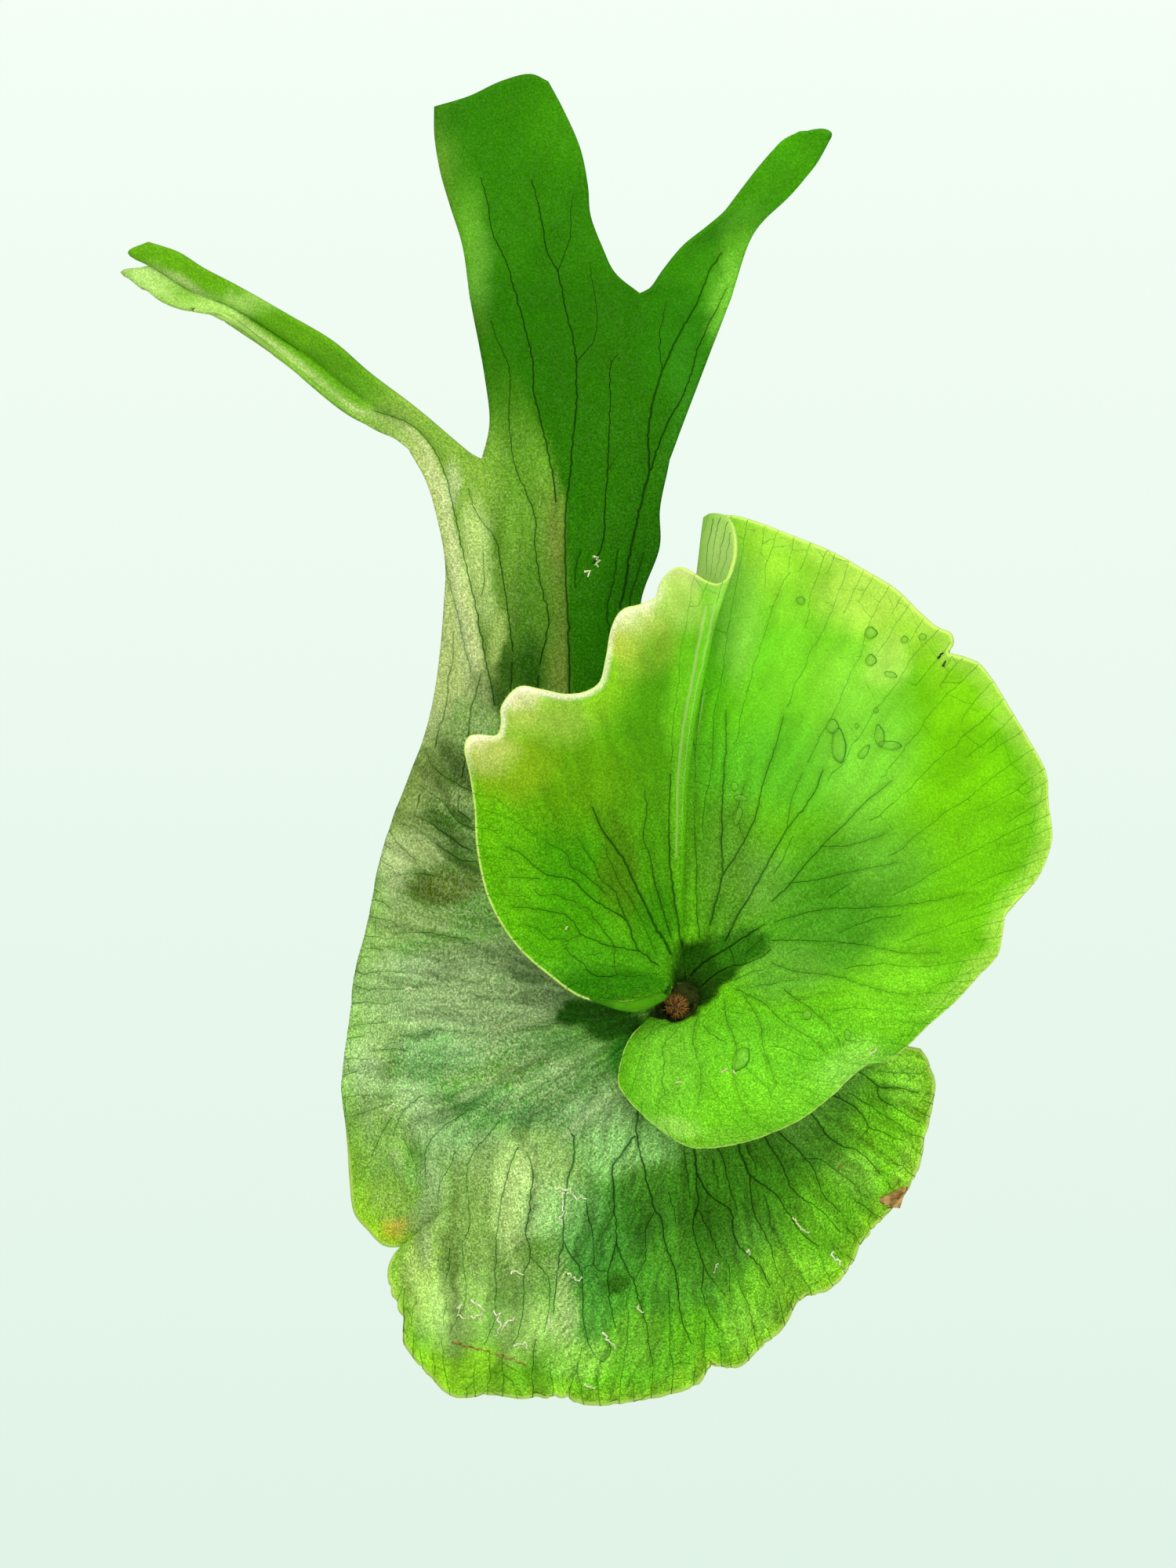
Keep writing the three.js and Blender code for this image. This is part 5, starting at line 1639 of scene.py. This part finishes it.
def make_hem(blade, painter):
    """The left lobe's lower edge, curled up so that its pale underside shows."""
    edge, turn = pixel_curve(HEM_EDGE), pixel_curve(HEM_TURN)
    columns, steps = HEM_GRID
    rows = []
    for j in range(steps + 1):
        v = j / steps
        row = []
        for i in range(columns + 1):
            u = i / columns
            at = edge.along(u) * (1 - v) + turn.along(u) * v
            inner = edge.along(u) * 0.15 + turn.along(u) * 0.85
            foot = near(blade, inner.x, inner.z - 3)[0]
            lift = 0.5 + 1.5 * math.sin(math.pi * min(1, u * 1.02)) * math.sin(math.pi * (0.15 + 0.6 * v))
            row.append(seen_at(at.x, at.z, foot.y - lift * MM))
        rows.append(row[::-1])
    hem = grid_piece(rows)
    edit_all(hem, bpy.ops.mesh.remove_doubles, threshold=0.02 * MM)
    paint(hem, painter)
    hem.data.materials.append(skin("young_frond_hem"))
    apply_modifier(hem, "SOLIDIFY", thickness=HEM_THICKNESS * MM, offset=0.0)
    faced_outward(hem)
    finish_piece(hem, "young_frond_hem", "young_frond_green")


def make_dry_corner(blade):
    """A dry, brown, curled corner on the shield's margin."""
    top, bottom = pixel_curve(DRY_CORNER["top"]), pixel_curve(DRY_CORNER["bottom"])
    columns, steps = CORNER_GRID
    rows = []
    for j in range(steps + 1):
        row = []
        for i in range(columns + 1):
            at = top.along(i / columns).lerp(bottom.along(i / columns), j / steps)
            crumple = 0.3 * noise.noise(Vector((at.x / 7, at.z / 7, 0)))
            row.append(seen_at(at.x, at.z, near(blade, at.x, at.z)[0].y - (0.8 + crumple) * MM))
        rows.append(row)
    corner = grid_piece(rows)
    corner.data.materials.append(speckled_material("corner_brown"))
    apply_modifier(corner, "SOLIDIFY", thickness=CORNER_THICKNESS * MM, offset=0.0)
    faced_outward(corner)
    finish_piece(corner, "old_frond_dry_corner", "old_frond_green")


def make_drop(blade, x, y, length, width, turn):
    """A flat drop of water that follows the blade."""
    deselect()
    bpy.ops.mesh.primitive_uv_sphere_add(segments=28, ring_count=16, radius=1)
    drop = bpy.context.active_object
    height = 0.65 * min(length, width) * PIXEL
    turned = math.radians(turn)
    layer = drop.data.color_attributes.new(name="paint", type="FLOAT_COLOR", domain="POINT")
    painted_foot_shade, painted_top_light = colour(WATER_FOOT_SHADE), colour(WATER_TOP_LIGHT)
    for i, vertex in enumerate(drop.data.vertices):
        a, b, c = vertex.co
        uneven = 1 + 0.4 * noise.noise(Vector((a * 0.8 + x / 9, b * 0.8, 0)))
        a, b = a * width * uneven, b * length * uneven
        foot, normal = near(blade, x + a * math.cos(turned) + b * math.sin(turned),
                            y + b * math.cos(turned) - a * math.sin(turned))
        if normal.y > 0:
            normal = -normal
        vertex.co = foot + normal * (0.4 * MM + height * (c if c > 0 else 0.15 * c))
        # Painted shade at the drop's foot, where it covers more, and painted light on its top.
        cover = 0.75 - 0.5 * fade(c, 0.3, 0.75)
        layer.data[i].color = (*mix(painted_foot_shade, painted_top_light, fade(c, 0.25, 0.75)), cover)
    return drop


def make_drops(blade):
    drops = [make_drop(blade, *shape) for shape in DROPS]
    join_all(drops)
    drops[0].data.materials.append(water_material())
    faced_outward(drops[0])
    finish_piece(drops[0], "water_drops", "young_frond_green")


# ---- Hairs, fur and moss ----
def hair_template(sides, joints, bend):
    """A tapering hair: a disc extruded upward in joints that narrow, lean over along x and meet in a tip."""
    deselect()
    bpy.ops.mesh.primitive_circle_add(vertices=sides, radius=1, fill_type="NGON")
    hair = bpy.context.active_object
    bpy.ops.object.mode_set(mode="EDIT")
    bpy.ops.mesh.select_all(action="SELECT")
    for k in range(1, joints + 1):
        lean = bend * (2 * k - 1) / joints ** 2
        bpy.ops.mesh.extrude_region_move(TRANSFORM_OT_translate={"value": (lean, 0, 1 / joints)})
        if k < joints:
            narrower = (joints - k) / (joints - k + 1)
            bpy.ops.transform.resize(value=(narrower, narrower, 1),
                                     center_override=(bend * (k / joints) ** 2, 0, k / joints))
    bpy.ops.mesh.merge(type="CENTER")
    bpy.ops.mesh.select_all(action="SELECT")
    bpy.ops.mesh.normals_make_consistent(inside=False)
    bpy.ops.object.mode_set(mode="OBJECT")
    corners = [vertex.co.copy() for vertex in hair.data.vertices]
    faces = [list(polygon.vertices) for polygon in hair.data.polygons]
    bpy.data.objects.remove(hair)
    return corners, faces


def scattered(template, matrices, name):
    """Copies of a small shape, one for each matrix, as one piece."""
    corners, faces = template
    points, polygons = [], []
    for matrix in matrices:
        first = len(points)
        points += [matrix @ Vector(corner) for corner in corners]
        polygons += [[first + i for i in face] for face in faces]
    mesh = bpy.data.meshes.new(name)
    mesh.from_pydata(points, [], polygons)
    piece = bpy.data.objects.new(name, mesh)
    bpy.context.collection.objects.link(piece)
    return piece


def standing(root, direction, hair, dice):
    """The matrix that stands a hair on its root, turned at random about its own line."""
    length = dice.uniform(*hair["length"])
    turn = direction.normalized().to_track_quat("Z", "Y").to_matrix().to_4x4()
    spin = Matrix.Rotation(dice.uniform(0, 2 * math.pi), 4, "Z")
    size = Matrix.Diagonal((hair["thickness"] * MM, hair["thickness"] * MM, length * MM, 1))
    return Matrix.Translation(root) @ turn @ spin @ size


def shaken(dice, across, deep):
    """A random lean: across the view and in depth."""
    return Vector((dice.gauss(0, across), dice.gauss(0, deep), dice.gauss(0, across)))


def finish_hairs(template, matrices, name, finish, slot):
    hairs = scattered(template, matrices, name)
    hairs.data.materials.append(speckled_material(finish))
    finish_piece(hairs, name, slot)


def make_margin_hairs(rows, dice):
    """Short pale down along the young frond's margin."""
    matrices = []
    rim, inner = rows[-1], rows[-3]
    for i in range(len(rim) - 1):
        for _ in range(MARGIN_DOWN["each"]):
            share = dice.random()
            root = rim[i].lerp(rim[i + 1], share)
            outward = (root - inner[i].lerp(inner[i + 1], share)).normalized()
            lean = shaken(dice, 0.5, 0.5)
            side = Vector((0, dice.uniform(-0.35, 0.35), 0))
            matrices.append(standing((root + side - outward * 0.15) * MM, outward + lean, MARGIN_DOWN, dice))
    finish_hairs(hair_template(3, 1, 0), matrices, "young_frond_down", "down_pale", "young_frond_green")


def make_crest_hairs(blade, ridges, dice):
    """Down along the young frond's crest and in its fold."""
    matrices = []
    for path in ridges:
        for (first, _), (second, _) in zip(path, path[1:]):
            for _ in range(CREST_DOWN["each"]):
                root = on_blade(blade, first.lerp(second, dice.random()), 0.4 * MM)
                _, _, normal, _ = blade.closest_point_on_mesh(root)
                lean = Vector((dice.gauss(0, 0.6), -0.6, dice.gauss(0, 0.6)))
                matrices.append(standing(root, normal + lean, CREST_DOWN, dice))
    finish_hairs(hair_template(3, 1, 0), matrices, "young_frond_crest_down", "down_lime", "young_frond_green")


def make_bud(dice):
    """The furry growing tip in the crown."""
    deselect()
    bpy.ops.mesh.primitive_uv_sphere_add(segments=32, ring_count=20, radius=1)
    bud = bpy.context.active_object
    low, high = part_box("rhizome_bud")
    middle = place(BUD_MIDDLE) * MM
    length = (high[1] - low[1]) / 2
    for vertex in bud.data.vertices:
        x, y, z = vertex.co
        spread = 1.9 + 0.7 * max(y, 0)
        lump = 1 + 0.08 * noise.noise(vertex.co * 3)
        vertex.co = Vector((middle.x + x * spread * lump * MM, low[1] + length + y * length * 0.93,
                            middle.z + z * spread * 0.85 * lump * MM))
    matrices = []
    for _ in range(BUD_FUR["count"]):
        vertex = bud.data.vertices[dice.randrange(len(bud.data.vertices))]
        out = (vertex.normal * 0.7 + Vector((0.15, -0.9, 0.2))).normalized()
        matrices.append(standing(vertex.co, out + shaken(dice, 0.25, 0.25), BUD_FUR, dice))
    bud.data.materials.append(speckled_material("bud_brown"))
    smooth_shaded(bud)
    finish_piece(bud, "growing_bud", "bud_fur", "rhizome_bud")
    finish_hairs(hair_template(4, 3, 2.0), matrices, "growing_bud_fur", "fur_golden", "bud_fur")


def moss_point(direction):
    """The point of the lumpy moss dome in a direction from its foot, in millimetres."""
    out = max(0.0, -direction.y)
    across = math.hypot(direction.x, direction.z)
    power = MOSS["roundness"]
    reach = ((across / MOSS["radius"]) ** power + (out / MOSS["rise"]) ** power) ** (-1 / power)
    if direction.y > 0:
        reach = MOSS["radius"]
    point = Vector((direction.x * reach, -out * reach, direction.z * reach))
    lumps = 0.9 * noise.noise(point / 4.5) + 0.5 * noise.noise(point / 1.6)
    return point * (1 + (lumps - 0.3) / MOSS["radius"]) if out > 0.02 else point * 0.985


def make_moss(dice):
    """The moss cushion between the board and the fronds, and its loose strands."""
    deselect()
    bpy.ops.mesh.primitive_uv_sphere_add(segments=150, ring_count=100, radius=1)
    moss = bpy.context.active_object
    base = Vector((MOSS["x"], -BOARD_THICKNESS - MOSS["gap"], MOSS["z"]))
    for vertex in moss.data.vertices:
        vertex.co = (base + moss_point(vertex.co.normalized())) * MM
    moss.data.update()
    matrices = []
    for _ in range(MOSS_STRANDS["count"]):
        vertex = moss.data.vertices[dice.randrange(len(moss.data.vertices))]
        if vertex.co.y > base.y * MM - 0.8 * MM:
            continue
        lean = Vector((dice.gauss(0, 0.7), dice.gauss(0, 0.4) - 0.2, dice.gauss(0, 0.7)))
        root = vertex.co - vertex.normal * 0.3 * MM
        matrices.append(standing(root, vertex.normal + lean, MOSS_STRANDS, dice))
    moss.data.materials.append(speckled_material("moss_green"))
    smooth_shaded(moss)
    finish_piece(moss, "moss_cushion", "moss", "moss_pad")
    finish_hairs(hair_template(4, 3, 4.0), matrices, "moss_strands", "moss_strand", "moss")


# ---- Camera, light and stage ----
def make_camera():
    bpy.ops.object.camera_add(location=VIEW_POINT, rotation=(math.pi / 2, 0, 0))
    camera = bpy.context.active_object
    camera.data.sensor_fit = "VERTICAL"
    camera.data.sensor_height = SENSOR_HEIGHT
    camera.data.lens = SENSOR_HEIGHT * VIEW_DISTANCE / FRAME_HEIGHT
    bpy.context.scene.camera = camera


def make_light(name, location, size, power, tint):
    bpy.ops.object.light_add(type="AREA", location=location)
    light = bpy.context.active_object
    light.name = name
    light.data.size = size
    light.data.energy = power
    light.data.color = tint
    light.rotation_euler = (Vector(LIGHT_TARGET) - Vector(location)).to_track_quat("-Z", "Y").to_euler()


def make_world():
    """A pale mint surround, brighter upward, that lights the fern more softly than it shows."""
    world = bpy.context.scene.world or bpy.data.worlds.new("World")
    bpy.context.scene.world = world
    world.use_nodes = True
    tree = world.node_tree
    direction, split, ramp, rays, dimmed, mixer = (tree.nodes.new("ShaderNode" + kind) for kind in (
        "TexCoord", "SeparateXYZ", "MapRange", "LightPath", "MapRange", "Mix"))
    ramp.inputs["From Min"].default_value = -HORIZON
    ramp.inputs["From Max"].default_value = HORIZON
    dimmed.inputs["To Min"].default_value = AMBIENT
    mixer.data_type = "RGBA"
    mixer.inputs[6].default_value = rgba(SURROUND_LOW)
    mixer.inputs[7].default_value = rgba(SURROUND_HIGH)
    surround = tree.nodes["Background"].inputs
    for output, socket in (
            (direction.outputs["Generated"], split.inputs[0]), (split.outputs["Z"], ramp.inputs["Value"]),
            (ramp.outputs["Result"], mixer.inputs[0]), (mixer.outputs[2], surround["Color"]),
            (rays.outputs["Is Camera Ray"], dimmed.inputs["Value"]),
            (dimmed.outputs["Result"], surround["Strength"])):
        tree.links.new(output, socket)


def make_stage():
    deselect()
    bpy.ops.mesh.primitive_plane_add(size=FLOOR_SIZE, location=(0, 0, FLOOR_HEIGHT))
    floor = bpy.context.active_object
    floor.name = "floor"
    floor.data.materials.append(Recipe("floor_pale", Roughness=0.8).coloured(rgba(FLOOR_PALE)))


def dress(node, material):
    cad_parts[node].data.materials.clear()
    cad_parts[node].data.materials.append(material)


make_camera()
make_world()
for lamp in LIGHTS:
    make_light(*lamp)
make_stage()
make_old_frond()
make_young_frond()
make_bud(random.Random(21))
make_moss(random.Random(8))
dress("mounting_board", wood_material())
wire = speckled_material("tie_wire_green")
dress("tie_wire_lower", wire)
dress("tie_wire_upper", wire)

bpy.context.scene.view_settings.view_transform = "Standard"
bpy.context.scene.view_settings.look = "None"
